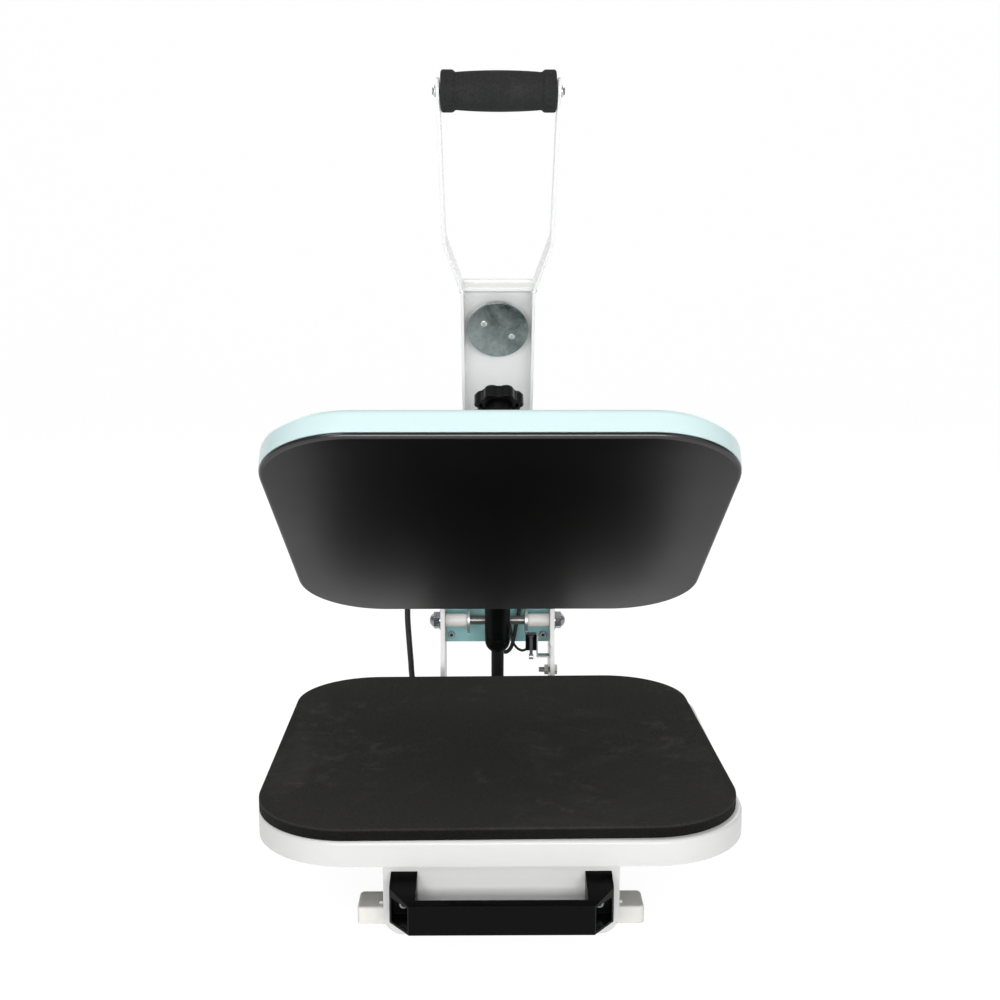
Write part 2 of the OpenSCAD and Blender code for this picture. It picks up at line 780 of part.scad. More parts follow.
module mains_cord() {
    color("black") placed() tube(smooth(concat(cord_points, [cord_end]), 4), cord_d, 8);
}

module cord_coil() {
    color("black") placed() tube(coil_path, cord_d, 6, [0, 0, 1]);
}

// Plug with two flat blades and a round earth pin
module mains_plug() {
    turn = atan2(coil_out_way.y, coil_out_way.x);
    color("black") placed() translate(plug_seat) rotate([0, 0, turn]) {
        translate([0.02, 0, 0]) rotate([0, 90, 0]) cylinder(d1 = cord_d + 3, d2 = 13, h = 18);
        translate([18, -12, -plug_seat.z]) cube([22, 24, 2 * plug_seat.z]);
        for (y = [-6.3, 6.3]) translate([40 - tiny, y - 0.75, -3]) cube([16, 1.5, 6]);
        translate([40 - tiny, 0, 6]) rotate([0, 90, 0]) cylinder(d = 4.8, h = 18);
    }
}

// Bracket on the tray that holds the gas spring's lower pin
module spring_bracket() {
    w = 34;
    color("white") placed() {
        translate([-w / 2, gas_foot.x - 18, tray_z + sheet + 0.05]) cube([w, 36, 3]);
        both_sides(w / 2 - 3, 3) difference() {
            union() {
                translate([gas_foot.x - 14, tray_z + sheet + 0.05]) square([28, 14]);
                dot(gas_foot, 11);
            }
            dot(gas_foot, gas_pin_d / 2 + pin_gap);
        }
        bar_x(-w / 2 - 3, gas_foot, gas_pin_d, w + 6);
    }
}

// Lower front corner of the small switch, in the middle of its width
switch_at = [upright_gap / 2 - 21.7, axle_y - 36, pad_top + 4];

// Small switch that the links reach when the press is closed
module limit_switch() {
    color("black") placed() translate(switch_at) {
        translate([-6, 0, 0]) cube([12, 10, 18]);
        for (z = [-5, 2, 9]) translate([-1, 10 - tiny, z + 6]) cube([2, 5, 1]);
        translate([-1.5, 2, -5]) cube([3, 1, 5.1]);
        for (x = [-3.7, 2.7]) difference() {
            translate([x, -2.4, 14.6]) cube([1, 2.5, 3.8]);
            translate([x - 1, -1, 16.5]) rotate([0, 90, 0]) cylinder(d = 1.6 + 2 * pin_gap, h = 3);
        }
    }
}

// Zinc bracket between the right upright and the small switch
module limit_bracket() {
    x = switch_at.x + 6.1;
    color("darkseagreen") placed() {
        translate([x, switch_at.y, pad_top - 4]) cube([1.5, 12, 24]);
        translate([x, switch_at.y, pad_top - 4]) cube([upright_gap / 2 - x - 0.05, 12, 1.5]);
        translate([upright_gap / 2 - 1.55, switch_at.y - 2, pad_top - 4]) cube([1.5, 16, 12]);
    }
}

// Lever of the small switch with its roller
module limit_lever() {
    color("silver") placed() translate(switch_at) {
        translate([-1.7, -1.6, -3]) cube([3.4, 1.2, 20]);
        translate([-2.5, -3.4, -6]) rotate([0, 90, 0]) cylinder(d = 5, h = 5);
        translate([-1.7, -2.2, -4.2]) cube([3.4, 1.2, 2.6]);
        translate([-3.6, -1, 16.5]) rotate([0, 90, 0]) cylinder(d = 1.6, h = 7.2);
    }
}

// Wire from the small switch to the control box, and a slack loop of cable behind the gas spring
module switch_wires() {
    z = pad_top;
    y = axle_y;
    x = switch_at.x;
    thin = [
        [x, y - 20.6, z + 5.5], [x, y - 17.5, z + 5.3], [x - 4, y - 11, z - 1], [x - 9, y - 4, z - 5],
        [x - 15, y + 2, z - 3.5], [x - 19.5, y + 6.5, z + 3], [x - 21.5, y + 8.4, z + 14],
        [x - 23, y + 9.4, z + 26], [x - 24, y + 13, z + 40],
        [x - 22.5, y + 23, z + 49.5], [x - 21, box_y - 18, z + 54.5], [x - 20.5, box_y - 4, floor_z + 8],
        [x - 20.5, box_y + 4, floor_z + 8.2]];
    loop = [[13.4, box_y + 4, floor_z + 12], [13.2, box_y - 5, floor_z + 11.6], [11, box_y - 18, z + 57.5],
        [6, y + 23, z + 49], [2, y + 14.5, z + 36], [0, y + 12, z + 20], [-0.3, y + 12, z + 5],
        [2.6, y + 12, z - 6.2], [9.4, y + 12, z - 11.4], [15.6, y + 12, z - 6], [18.6, y + 12, z + 5],
        [21.4, y + 12.5, z + 20], [24.5, y + 14.5, z + 36], [25.4, y + 23, z + 49], [23, box_y - 18, z + 58],
        [19.8, box_y - 5, floor_z + 11.8], [19.6, box_y + 4, floor_z + 12]];
    color("black") placed() {
        tube(smooth(thin, 4), 3, 8);
        tube(smooth(loop, 4), 4.6, 8);
    }
}

// Cross section of a slide rail: a web with two lips
module rail_pair(x, t, h, z, y, len, lip) {
    color("silver") placed() for (side = [-1, 1]) translate([side * x, y, z]) {
        translate([side > 0 ? -t : 0, 0, -h / 2]) cube([t, len, h]);
        for (s = [-1, 1]) translate([side > 0 ? -lip : 0, 0, s * (h / 2 - 0.6) - 0.6]) cube([lip, len, 1.2]);
    }
}

rail_mid_z = rail_z + rail_h / 2;
module fixed_rails() rail_pair(tray_w / 2 - sheet - 0.05, 1.2, rail_h, rail_mid_z, tray_front + 5, rail_len, 7);
module mid_rails() {
    rail_pair(tray_w / 2 - sheet - 2.6, 1.4, rail_h - 4, rail_mid_z, tray_front + 5, rail_len - 10, 6.5);
}
module drawer_rails() {
    rail_pair(drawer_w / 2 + 6.6, 1.2, rail_h - 8, rail_mid_z, tray_front + 5, rail_len - 6, 6.6);
}

// Drawer frame: a folded sheet with a front flange
module drawer_frame() {
    w = drawer_w - 0.1;
    low = tray_z + sheet + 4;
    len = rail_len + 20;
    color("white") placed() difference() {
        union() {
            translate([-w / 2, front_y, drawer_z - sheet]) cube([w, len, sheet]);
            for (x = [-w / 2, w / 2 - sheet]) translate([x, front_y, low]) cube([sheet, len, drawer_z - low]);
            translate([-front_w / 2 + 6, front_y, low]) cube([front_w - 12, sheet, drawer_z - low - 6]);
        }
        for (x = [-1, 1], y = [-1, 1]) translate([x * 50, y * 120, drawer_z - sheet - 1])
            cylinder(d = 5.4, h = sheet + 2);
        for (x = [-1, 1]) translate([x * (pull_w / 2 - 10), front_y - 1, pull_low + 11])
            rotate([-90, 0, 0]) cylinder(d = 4.6, h = sheet + 2);
    }
}

// Lower plate: a shallow pan upside down on four posts
module lower_plate() {
    w = pad_w + 2 * lower_margin;
    r = pad_r + 2;
    h = lower_rim;
    color("white") placed() {
        translate([0, 0, lower_z + lower_wall - h]) shell(w, w, h, r, lower_edge, lower_wall);
        for (x = [-1, 1], y = [-1, 1]) translate([x * 50, y * 120, drawer_z]) {
            cylinder(d = 14, h = post_h + tiny);
            translate([0, 0, -sheet - 3]) cylinder(d = 5, h = sheet + 4);
        }
    }
}

// Soft pad, a little askew on its plate
module pad() {
    color("dimgray") placed() translate([pad_shift, 0, lower_z + lower_wall]) rotate([0, 0, pad_turn])
        soft_slab(pad_w, pad_w, pad_t, pad_r, 1.5);
}

// Front of the drawer, with larger radii at its lower corners
module front_panel() {
    color("white") placed() translate([0, front_y, drawer_z + 0.5 - front_h]) rotate([90, 0, 0])
        linear_extrude(front_t) difference() {
            union() {
                translate([-front_w / 2 + front_r, 0]) square([front_w - 2 * front_r, front_h]);
                translate([-front_w / 2, front_r]) square([front_w, front_h - front_r]);
                for (x = [-1, 1]) translate([x * (front_w / 2 - front_r), front_r]) circle(front_r);
            }
            for (x = [-1, 1]) translate([x * (pull_w / 2 - 10), pull_low - drawer_z - 0.5 + front_h + 11])
                circle(d = 4.6);
        }
}

// Lower edge of the pull above the table
pull_low = 30;

// Bridge pull: a bar on two posts, with a screw pocket in each slanted end
module pull_handle() {
    back = front_y - front_t;
    in = 15.5;
    deep = 20;
    color("black") placed() difference() {
        intersection() {
            translate([0, 0, pull_low]) linear_extrude(40) difference() {
                polygon([
                    [-pull_w / 2, back], [-pull_w / 2, bar_y + deep], [-pull_w / 2 + in, bar_y],
                    [pull_w / 2 - in, bar_y], [pull_w / 2, bar_y + deep], [pull_w / 2, back]]);
                translate([-pull_w / 2 + pull_post, bar_y + pull_t])
                    square([pull_w - 2 * pull_post, pull_reach]);
            }
            side_plate(-pull_w, 2 * pull_w) polygon([
                [back, pull_low], [bar_y, pull_low], [bar_y, pull_low + pull_h],
                [back, pull_low + pull_h + 9.4]]);
        }
        for (s = [-1, 1]) {
            translate([0, 0, pull_low + 2.2]) linear_extrude(pull_h - 4.2) polygon([
                [s * (pull_w / 2 + 2), bar_y + 12], [s * (pull_w / 2 - in + 2), bar_y - 3],
                [s * (pull_w / 2 - in + 0.6), bar_y + 2.6], [s * (pull_w / 2 - 16.8), bar_y + 9],
                [s * (pull_w / 2 - 16.8), bar_y + 29], [s * (pull_w / 2 - 2), bar_y + 29],
                [s * (pull_w / 2 - 2), bar_y + 18.8]]);
            translate([s * (pull_w / 2 - 10), bar_y + 20, pull_low + 11]) rotate([-90, 0, 0])
                cylinder(d = 4.6, h = 30);
        }
    }
}

// Screws of the pull, in their pockets
module pull_screws() {
    color("silver") placed() for (x = [-1, 1])
        translate([x * (pull_w / 2 - 10), bar_y + 29 - 0.05, pull_low + 11]) rotate([90, 0, 0])
            round_screw(4, pull_reach - 29 + front_t + sheet + 3, 8, 3);
}

// Outline of a side of the lift arm, closed
module arm_outline() {
    z = pad_top;
    difference() {
        union() {
            polygon([
                [arm_front, z + arm_low], [112, z + arm_low], [230, z + 82], [hinge.x - 4, hinge.y - 19.6],
                [hinge.x + 19.6, hinge.y + 4], [pivot.x + 14, pivot.y - 2], [pivot.x - 5, pivot.y + 13],
                [230, z + 160], [118, z + arm_web_top], [36, z + arm_web_top], [12, z + arm_front_top],
                [arm_front, z + arm_front_top]]);
            dot(hinge, 20);
            dot(pivot, 14);
        }
        dot(hinge, shaft_d / 2 + pin_gap);
        dot(pivot, shaft_d / 2 + pin_gap);
        dot(gas_top, gas_pin_d / 2 + pin_gap);
        dot([180, z + 104], 14);
    }
}

// Lift arm: two sides and the plates between them
module lift_arm() {
    in = arm_w - 2 * arm_t;
    color("white") placed() opened() difference() {
        union() {
            both_sides(arm_w / 2 - arm_t, arm_t) arm_outline();
            translate([-in / 2 - 1, arm_front, pad_top + arm_front_top - arm_t]) cube([in + 2, 44, arm_t]);
            translate([-in / 2 - 1, 36, pad_top + arm_web_top - arm_t]) cube([in + 2, 82, arm_t]);
            translate([-in / 2 - 1, 150, pad_top + 70]) cube([in + 2, 34, arm_t]);
        }
        translate([0, 0, pad_top + arm_front_top - 10]) cylinder(d = 24.4, h = 20);
        translate([0, magnet_y, pad_top + arm_web_top - 10]) cylinder(d = 8.4, h = 20);
    }
}

// Pins fixed in the lift arm: handle pivot, with washers, and the gas spring's upper pin
module arm_pins() {
    color("silver") placed() opened() {
        bar_x(-channel_out / 2 - 6, pivot, shaft_d, channel_out + 12);
        bar_x(-arm_w / 2 - 2, gas_top, gas_pin_d, arm_w + 4);
        for (x = [-1, 1]) {
            bar_x(x > 0 ? channel_out / 2 + gap : -channel_out / 2 - gap - 4, pivot, 17, 4);
            bar_x(x > 0 ? arm_w / 2 : -arm_w / 2 - link_t - gap, pivot, 18, link_t + gap);
        }
    }
}

// Electromagnet that holds the handle down
module electromagnet() {
    color("gray") placed() opened() translate([0, magnet_y, pad_top + arm_web_top]) {
        difference() {
            cylinder(d = magnet_d, h = magnet_h);
            translate([0, 0, magnet_h - 1.2]) difference() {
                cylinder(d = magnet_d - 14, h = 2);
                translate([0, 0, -1]) cylinder(d = magnet_d - 34, h = 4);
            }
        }
        translate([0, 0, -arm_t - 9]) cylinder(d = 8, h = arm_t + 10);
        translate([0, 0, -arm_t - 7]) cylinder(d = 13 / cos(30), h = 7, $fn = 6);
    }
}

// Threaded bush of the pressure spindle
module pressure_nut() {
    color("silver") placed() opened() translate([0, 0, pad_top + arm_front_top]) difference() {
        union() {
            translate([0, 0, -18]) cylinder(d = 24, h = 20);
            cylinder(d = 32, h = 2.5);
        }
        translate([0, 0, -20]) cylinder(d = spindle_d + 0.6, h = 30);
    }
}

// Heated plate: a lip as wide as the cover, with a rounded lower edge, and the part inside the cover
module heat_platen() {
    in = cover_wall + 1.2 - cover_margin;
    color("black") placed() opened() {
        translate([0, 0, pad_top + gap + platen_lip - 0.3]) rotate([180, 0, 0])
            soft_slab(platen_w, platen_w, platen_lip - 0.3, platen_r, platen_edge);
        translate([0, 0, pad_top + gap + 1]) linear_extrude(platen_t - 1)
            round_rect(platen_w - 2 * in, platen_w - 2 * in, platen_r - in);
    }
}

// Tubular heater, three bends to and fro on top of the heated plate
module heating_element() {
    row = 52;
    run = 230;
    z = pad_top + gap + platen_t + element_lift + element_d / 2;
    color("brown") placed() opened() translate([0, 0, z]) {
        for (i = [-2.5 : 1 : 2.5]) translate([-run / 2, i * row, 0]) rotate([0, 90, 0])
            cylinder(d = element_d, h = run, $fn = 24);
        for (i = [-2 : 1 : 2]) translate([(i % 2 == 0 ? 1 : -1) * (run / 2 - tiny), i * row, 0])
            rotate([0, 0, i % 2 == 0 ? -90 : 90]) rotate_extrude(angle = 180)
                translate([row / 2, 0]) circle(d = element_d, $fn = 24);
    }
}

// Insulating mat between the heater and the cover
module insulation_mat() {
    z = pad_top + gap + platen_t + element_lift + element_d + 0.3;
    top = pad_top + gap + cover_top - cover_wall - 0.3;
    color("khaki") placed() opened() translate([0, 0, z]) linear_extrude(top - z)
        round_rect(platen_w - 14, platen_w - 14, platen_r - 8);
}

// Pressed sheet cover over the heated plate
module platen_cover() {
    w = platen_w + 2 * cover_margin;
    r = platen_r + cover_margin;
    color("paleturquoise") placed() opened() translate([0, 0, pad_top + gap + platen_lip])
        shell(w, w, cover_h, r, cover_edge, cover_wall);
}

// Yoke on the cover that slides inside the lift arm and carries the spindle's foot
module platen_hanger() {
    in = arm_w / 2 - arm_t - gap;
    z = pad_top + gap + cover_top;
    color("silver") placed() opened() translate([0, 0, z]) {
        translate([-in, -90, 0]) cube([2 * in, 180, hanger_t]);
        for (x = [-in, in - 4]) translate([x, -27, 0])
            cube([4, 54, arm_front_top - arm_t - lift_travel - cover_top - 4]);
        difference() {
            cylinder(d = 32, h = 16);
            translate([0, 0, 5]) cylinder(d = spindle_d + 2 * pin_gap, h = 20);
        }
        for (y = [-76, 76]) translate([0, y, hanger_t - tiny]) cylinder(d = 13 / cos(30), h = 5.3, $fn = 6);
    }
}

// Star knob with seven lobes
module knob() {
    hub = 24;
    base = pad_top + knob_top - knob_h;
    color("black") placed() opened() translate([0, 0, base]) difference() {
        union() {
            linear_extrude(knob_h - 2) star();
            linear_extrude(knob_h) scale(0.93) star();
            translate([0, 0, -knob_hub]) cylinder(d = hub, h = knob_hub + 1);
        }
        translate([0, 0, -1]) linear_extrude(4) difference() {
            scale(0.8) star();
            circle(d = hub);
        }
        translate([0, 0, -knob_hub - 1]) cylinder(d = spindle_d + 0.04, h = knob_hub + knob_h - 3.7);
    }
}

// Outline of the star knob, with a hollow between two lobes at its front
module star() {
    lobes = 7;
    lobe = knob_d * 0.15;
    rotate(90) {
        circle(d = knob_d * 0.86);
        for (i = [0 : lobes - 1]) rotate(i * 360 / lobes) translate([knob_d / 2 - lobe, 0]) circle(lobe);
    }
}

// Pressure spindle
module spindle() {
    z = pad_top + gap + cover_top + 5.3;
    top = pad_top + knob_top - 5;
    color("silver") placed() opened() translate([0, 0, z]) cylinder(d = spindle_d, h = top - z);
}

// Outline of a flange of the handle channel
module flange_outline() {
    difference() {
        union() {
            translate([pivot.x - channel_end, pivot.y + web_in + handle_t - channel_d])
                square([channel_end, channel_d]);
            dot(pivot, web_in + handle_t);
            dot(crank_pin, 11);
            translate([pivot.x - 11, pivot.y - crank]) square([22, crank]);
        }
        dot(pivot, shaft_d / 2 + pin_gap);
        dot(crank_pin, link_pin_d / 2 + pin_gap);
    }
}

// Handle channel: two flanges and the web, with a plate across its upper end
module handle_channel() {
    w = channel_out;
    color("white") placed() swung() {
        both_sides(channel_in / 2, handle_t) flange_outline();
        translate([-w / 2, pivot.x - channel_end, pivot.y + web_in]) cube([w, channel_end - 40, handle_t]);
        translate([-channel_in / 2 - 0.1, pivot.x - web_end, pivot.y - 5])
            cube([channel_in + 0.2, 4, web_in + 5.1]);
    }
}

// Flat bars from the channel to the grip, with two bends each
module handle_bars() {
    x0 = channel_out / 2;
    x1 = bars_w / 2;
    x2 = grip_w / 2;
    y0 = pivot.x - channel_end;
    y1 = pivot.x - disc_s - bend_high;
    y2 = pivot.x - disc_s - grip_out;
    slope = (x2 - x1) / (y1 - y2);
    end = y2 - bar_d / 2;
    xe = x2 + slope * bar_d / 2;
    color("white") placed() swung() difference() {
        intersection() {
            translate([0, 0, pivot.y - 8 - bar_d / 2]) linear_extrude(bar_d) for (s = [-1, 1])
                polygon([
                    [s * x0, y0], [s * x1, y1], [s * xe, end], [s * (xe - handle_t), end],
                    [s * (x1 - handle_t - 0.4), y1], [s * (x0 - handle_t), y0]]);
            side_plate(-x2 - 10, 2 * x2 + 20) {
                translate([y2, pivot.y - 8 - bar_d / 2]) square([y0 - y2, bar_d]);
                dot([y2, pivot.y - 8], bar_d / 2);
            }
        }
        bar_x(-x2 - 10, [y2, pivot.y - 8], 6.4, 2 * x2 + 20);
    }
}

grip_at = [pivot.x - disc_s - grip_out, pivot.y - 8];
grip_half = grip_w / 2 - handle_t - 0.6;

// Tube inside the grip
module grip_core() {
    color("silver") placed() swung() difference() {
        bar_x(-grip_half, grip_at, core_d, 2 * grip_half);
        bar_x(-grip_half - 1, grip_at, 6.1, 2 * grip_half + 2);
    }
}

// Foam grip: flanged ends and a barrel between them
module foam_grip() {
    end = grip_half - 0.4;
    e = grip_end_d / 2;
    n = grip_neck_d / 2;
    m = grip_mid_d / 2;
    r = core_d / 2 + 0.2;
    color("dimgray") placed() swung() translate([0, grip_at.x, grip_at.y]) rotate([0, 90, 0])
        rotate_extrude() polygon([
            [r, -end], [e - 3, -end], [e - 0.9, -end + 0.9], [e, -end + 3], [e, -end + 10],
            [e - 1.2, -end + 12.5], [n, -end + 14], [n + (m - n) * 0.45, -end * 0.5], [m - 0.4, -end * 0.22], [m, 0],
            [m - 0.4, end * 0.22], [n + (m - n) * 0.45, end * 0.5], [n, end - 14],
            [e - 1.2, end - 12.5], [e, end - 10], [e, end - 3], [e - 0.9, end - 0.9], [e - 3, end], [r, end]]);
}

// Screws that hold the grip between the bars
module grip_screws() {
    x = grip_w / 2 + 0.2;
    color("silver") placed() swung() for (s = [-1, 1])
        translate([s * x, grip_at.x, grip_at.y]) rotate([0, s * 90, 0]) round_screw(6, 22, 11, 3.4);
}

// Steel disc that the electromagnet holds, on its two studs
module armature_disc() {
    at = [0, pivot.x - disc_s, pivot.y - disc_drop];
    stud = [14.2, 7.4];
    color("lightslategray") placed() swung() translate(at) {
        translate([0, 0, 0.6]) cylinder(d = disc_d, h = disc_t - 0.6);
        cylinder(d = disc_d - 1.6, h = disc_t);
        for (s = [-1, 1]) translate([s * stud.x, s * stud.y, -0.15])
            cylinder(d = 8, h = disc_drop + web_in + 0.15);
    }
}

// Two pins that join the links to the handle channel
module link_pins() {
    from = arm_w / 2 + gap + 0.05;
    len = channel_out / 2 - from + 0.1;
    color("silver") placed() swung() for (s = [-1, 1])
        translate([s * from, crank_pin.x, crank_pin.y]) rotate([0, s * 90, 0]) {
            cylinder(d = link_pin_d, h = len);
            translate([0, 0, len - 0.05]) cylinder(d = 14, h = 3);
        }
}

// Bowed link between the axle and the handle, drawn closed
module link_outline() {
    mid = (axle + crank_pin) / 2;
    half = link_len / 2;
    r = (half ^ 2 + link_bow ^ 2) / (2 * link_bow);
    centre = mid - [r - link_bow, 0];
    difference() {
        union() {
            intersection() {
                difference() {
                    dot(centre, r + link_w / 2);
                    dot(centre, r - link_w / 2);
                }
                polygon([
                    centre, centre + 2 * (crank_pin - centre), centre + [3 * r, 0],
                    centre + 2 * (axle - centre)]);
            }
            dot(axle, 14.5);
            dot(crank_pin, 9.3);
        }
        dot(axle, shaft_d / 2 + pin_gap);
        dot(crank_pin, link_pin_d / 2 + link_loose);
    }
}

// The two links
module link_plates() {
    color("gainsboro") placed() translate([0, axle.x, axle.y]) rotate([-link_turn, 0, 0])
        translate([0, -axle.x, -axle.y]) both_sides(arm_w / 2 + gap, link_t) link_outline();
}

// Puts a piece on the gas spring's line: Z runs from the lower pin to the upper one
module on_gas() {
    translate([0, gas_foot.x, gas_foot.y]) rotate([gas_lean, 0, 0]) children();
}

// Cylinder of the gas spring, with a rounded nose and an eye on top
module gas_cylinder() {
    nose = gas_nose;
    top = gas_len_open - gas_eye;
    r = gas_d / 2;
    color("black") placed() on_gas() difference() {
        union() {
            rotate_extrude() polygon([
                [0, nose], [r - 6.5, nose], [r - 4, nose + 1], [r - 1.4, nose + 4.5], [r - 0.3, nose + 8],
                [r, nose + 10], [r, nose + 15.2], [r - 0.5, nose + 15.6], [r - 0.5, nose + 16.4],
                [r, nose + 16.8], [r, top - 6], [r - 2, top - 2], [6, top], [0, top]]);
            translate([0, 0, top - 1]) cylinder(d = 11, h = gas_eye - 2);
            translate([-7, 0, gas_len_open]) rotate([0, 90, 0]) cylinder(d = 18, h = 14);
        }
        translate([0, 0, nose - 1]) cylinder(d = gas_rod_d + 2 * pin_gap, h = 90);
        translate([-20, 0, gas_len_open]) rotate([0, 90, 0]) cylinder(d = gas_pin_d + 2 * pin_gap, h = 40);
    }
}

// Rod of the gas spring with its lower eye
module gas_rod() {
    color("dimgray") placed() on_gas() difference() {
        union() {
            translate([0, 0, 8]) cylinder(d = gas_rod_d, h = gas_nose + 40);
            translate([-6, 0, 0]) rotate([0, 90, 0]) cylinder(d = 20, h = 12);
        }
        translate([-20, 0, 0]) rotate([0, 90, 0]) cylinder(d = gas_pin_d + 2 * gas_loose, h = 40);
    }
}

base_tray();
rubber_feet();
left_upright();
right_upright();
hinge_shaft();
link_axle();
acorn_nuts();
nylon_spacers();
frame_screws();
rear_plate();
control_box();
control_back();
control_panel();
display_window();
button_timer();
button_heat();
button_up();
button_down();
rocker_housing();
rocker();
circuit_board();
cord_gland();
mains_cord();
cord_coil();
mains_plug();
spring_bracket();
limit_switch();
limit_bracket();
limit_lever();
switch_wires();
fixed_rails();
mid_rails();
drawer_rails();
drawer_frame();
lower_plate();
pad();
front_panel();
pull_handle();
pull_screws();
lift_arm();
arm_pins();
electromagnet();
pressure_nut();
heat_platen();
heating_element();
insulation_mat();
platen_cover();
platen_hanger();
knob();
spindle();
handle_channel();
handle_bars();
grip_core();
foam_grip();
grip_screws();
armature_disc();
link_pins();
link_plates();
gas_cylinder();
gas_rod();
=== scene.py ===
"""The looks of a flat heat press with a pull out lower plate, shown opened."""

import json
import math

import bpy
from mathutils import Matrix, Vector

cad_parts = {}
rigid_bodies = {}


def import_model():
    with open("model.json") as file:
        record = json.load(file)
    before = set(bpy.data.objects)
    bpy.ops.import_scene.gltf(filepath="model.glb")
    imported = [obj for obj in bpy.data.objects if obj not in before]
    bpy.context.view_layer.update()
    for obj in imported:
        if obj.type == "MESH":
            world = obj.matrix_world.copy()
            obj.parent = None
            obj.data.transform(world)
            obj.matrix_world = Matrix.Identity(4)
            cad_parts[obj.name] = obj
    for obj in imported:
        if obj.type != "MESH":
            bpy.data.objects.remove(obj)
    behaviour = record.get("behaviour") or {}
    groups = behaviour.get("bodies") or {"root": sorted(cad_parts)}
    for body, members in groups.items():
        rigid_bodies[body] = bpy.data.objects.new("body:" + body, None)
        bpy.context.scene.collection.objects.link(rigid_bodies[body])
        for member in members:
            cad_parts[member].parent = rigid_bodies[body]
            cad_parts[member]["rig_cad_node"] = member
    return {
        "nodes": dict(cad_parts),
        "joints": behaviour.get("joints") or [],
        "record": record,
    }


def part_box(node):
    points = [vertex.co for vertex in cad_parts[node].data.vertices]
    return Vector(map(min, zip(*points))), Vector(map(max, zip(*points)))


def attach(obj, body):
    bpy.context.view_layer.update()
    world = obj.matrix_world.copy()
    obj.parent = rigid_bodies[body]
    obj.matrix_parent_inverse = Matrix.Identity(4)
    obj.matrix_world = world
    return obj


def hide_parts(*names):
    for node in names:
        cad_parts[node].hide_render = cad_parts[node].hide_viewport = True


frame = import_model()
bpy.context.view_layer.update()
MM = 0.001
NODES = frame["nodes"]
BODY_OF = {node: body for body, nodes in frame["record"]["behaviour"]["bodies"].items() for node in nodes}
SLOT_OF = {part["node"]: part["material_slot"] for part in frame["record"]["subparts"]}
JOINTS = {joint["name"]: joint for joint in frame["joints"]}


# ---- Places and sizes ----

def turn_about(place, degrees):
    """A turn about the X axis through a place."""
    at = Matrix.Translation(place)
    return at @ Matrix.Rotation(math.radians(degrees), 4, "X") @ at.inverted()


HINGE = Vector(JOINTS["arm_hinge"]["pos_m"])
OPEN_ANGLE = JOINTS["arm_hinge"]["range_deg"][1]
PIVOT = Vector(JOINTS["handle_hinge"]["pos_m"])
HANDLE_SPARE = 0.04
HANDLE_ANGLE = OPEN_ANGLE + JOINTS["handle_hinge"]["range_deg"][1] - HANDLE_SPARE
PIVOT_CLOSED = turn_about(HINGE, OPEN_ANGLE) @ PIVOT
PLATE_LOW, PLATE_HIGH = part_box("lower_plate")
PAD_LOW, PAD_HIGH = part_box("pad")
PLATE_MIDDLE = (PLATE_LOW + PLATE_HIGH) / 2
PAD_TOP = PAD_HIGH.z

# Sizes and places in millimetres, as in the CAD. Places are from the middle of the pad and from the table
PAD_SIDE, PAD_CORNER, PAD_THICK, PAD_TURN = 381, 76, 10, 1
HEATED_SIDE, HEATED_CORNER, HEATED_FILLET = 378, 78, 3.5
STEP_IN = 2.2
SPINDLE_LOW, SPINDLE_HIGH, SPINDLE_PITCH = 128.65, 233.5, 3.0
KNOB_TOP = 140.5
GRIP_AT = (0, -174.2, 255)
GRIP_SCREW_X = 56.7
BAR_GAP, BAR_WALL = 113, 3
DISC_AT = (0, 71.5, 253)
ROLLER_AT = (37, 268.6, 96)
STOP_Y, STOP_Z = 300, 72
PADDLE_AT, PADDLE_TURN = (125, 403, 198), 7
SIDES = (-1, 1)
FEET_Y = (-135.5, 325.5)

# Frames for such places: at rest, on the lift arm drawn closed, and on the handle drawn closed
PLAIN = Matrix.Translation((0, PLATE_MIDDLE.y, 0))
ON_ARM = turn_about(HINGE, -OPEN_ANGLE) @ PLAIN
ON_HANDLE = (Matrix.Translation(PIVOT) @ Matrix.Rotation(math.radians(-HANDLE_ANGLE), 4, "X")
             @ Matrix.Translation(-PIVOT_CLOSED) @ PLAIN)


def against(joint, place):
    """A frame whose Z axis points against a joint's axis."""
    axis = JOINTS[joint]["axis"]
    lean = math.atan2(axis[1], -axis[2])
    return PLAIN @ Matrix.Translation(Vector(place) * MM) @ Matrix.Rotation(lean, 4, "X")


# The control panel's face, which its buttons are pressed into
ON_SLOPE = against("press_timer", (0, 388, 278))
AXES = {
    "+Z": Matrix.Identity(4), "-Z": Matrix.Rotation(math.pi, 4, "X"),
    "+X": Matrix.Rotation(math.pi / 2, 4, "Y"), "-X": Matrix.Rotation(-math.pi / 2, 4, "Y"),
    "+Y": Matrix.Rotation(-math.pi / 2, 4, "X"), "-Y": Matrix.Rotation(math.pi / 2, 4, "X")}


# ---- Camera ----

def set_camera():
    """The camera, placed and aimed as for the product photograph."""
    lens = bpy.data.cameras.new("lens")
    lens.lens, lens.sensor_width = 45.44, 36
    camera = bpy.data.objects.new("camera", lens)
    bpy.context.scene.collection.objects.link(camera)
    yaw, pitch = math.radians(-0.46), math.radians(9.09)
    look = Matrix.Rotation(yaw, 4, "Z") @ Matrix.Rotation(-pitch, 4, "X")
    place = Vector((-0.0082, PLATE_MIDDLE.y - 1.07904, PAD_TOP + 0.38863))
    camera.matrix_world = Matrix.Translation(place) @ look @ Matrix.Rotation(math.radians(90), 4, "X")
    bpy.context.scene.camera = camera


set_camera()


# ---- Mains lead: the same route as the CAD, in metres ----

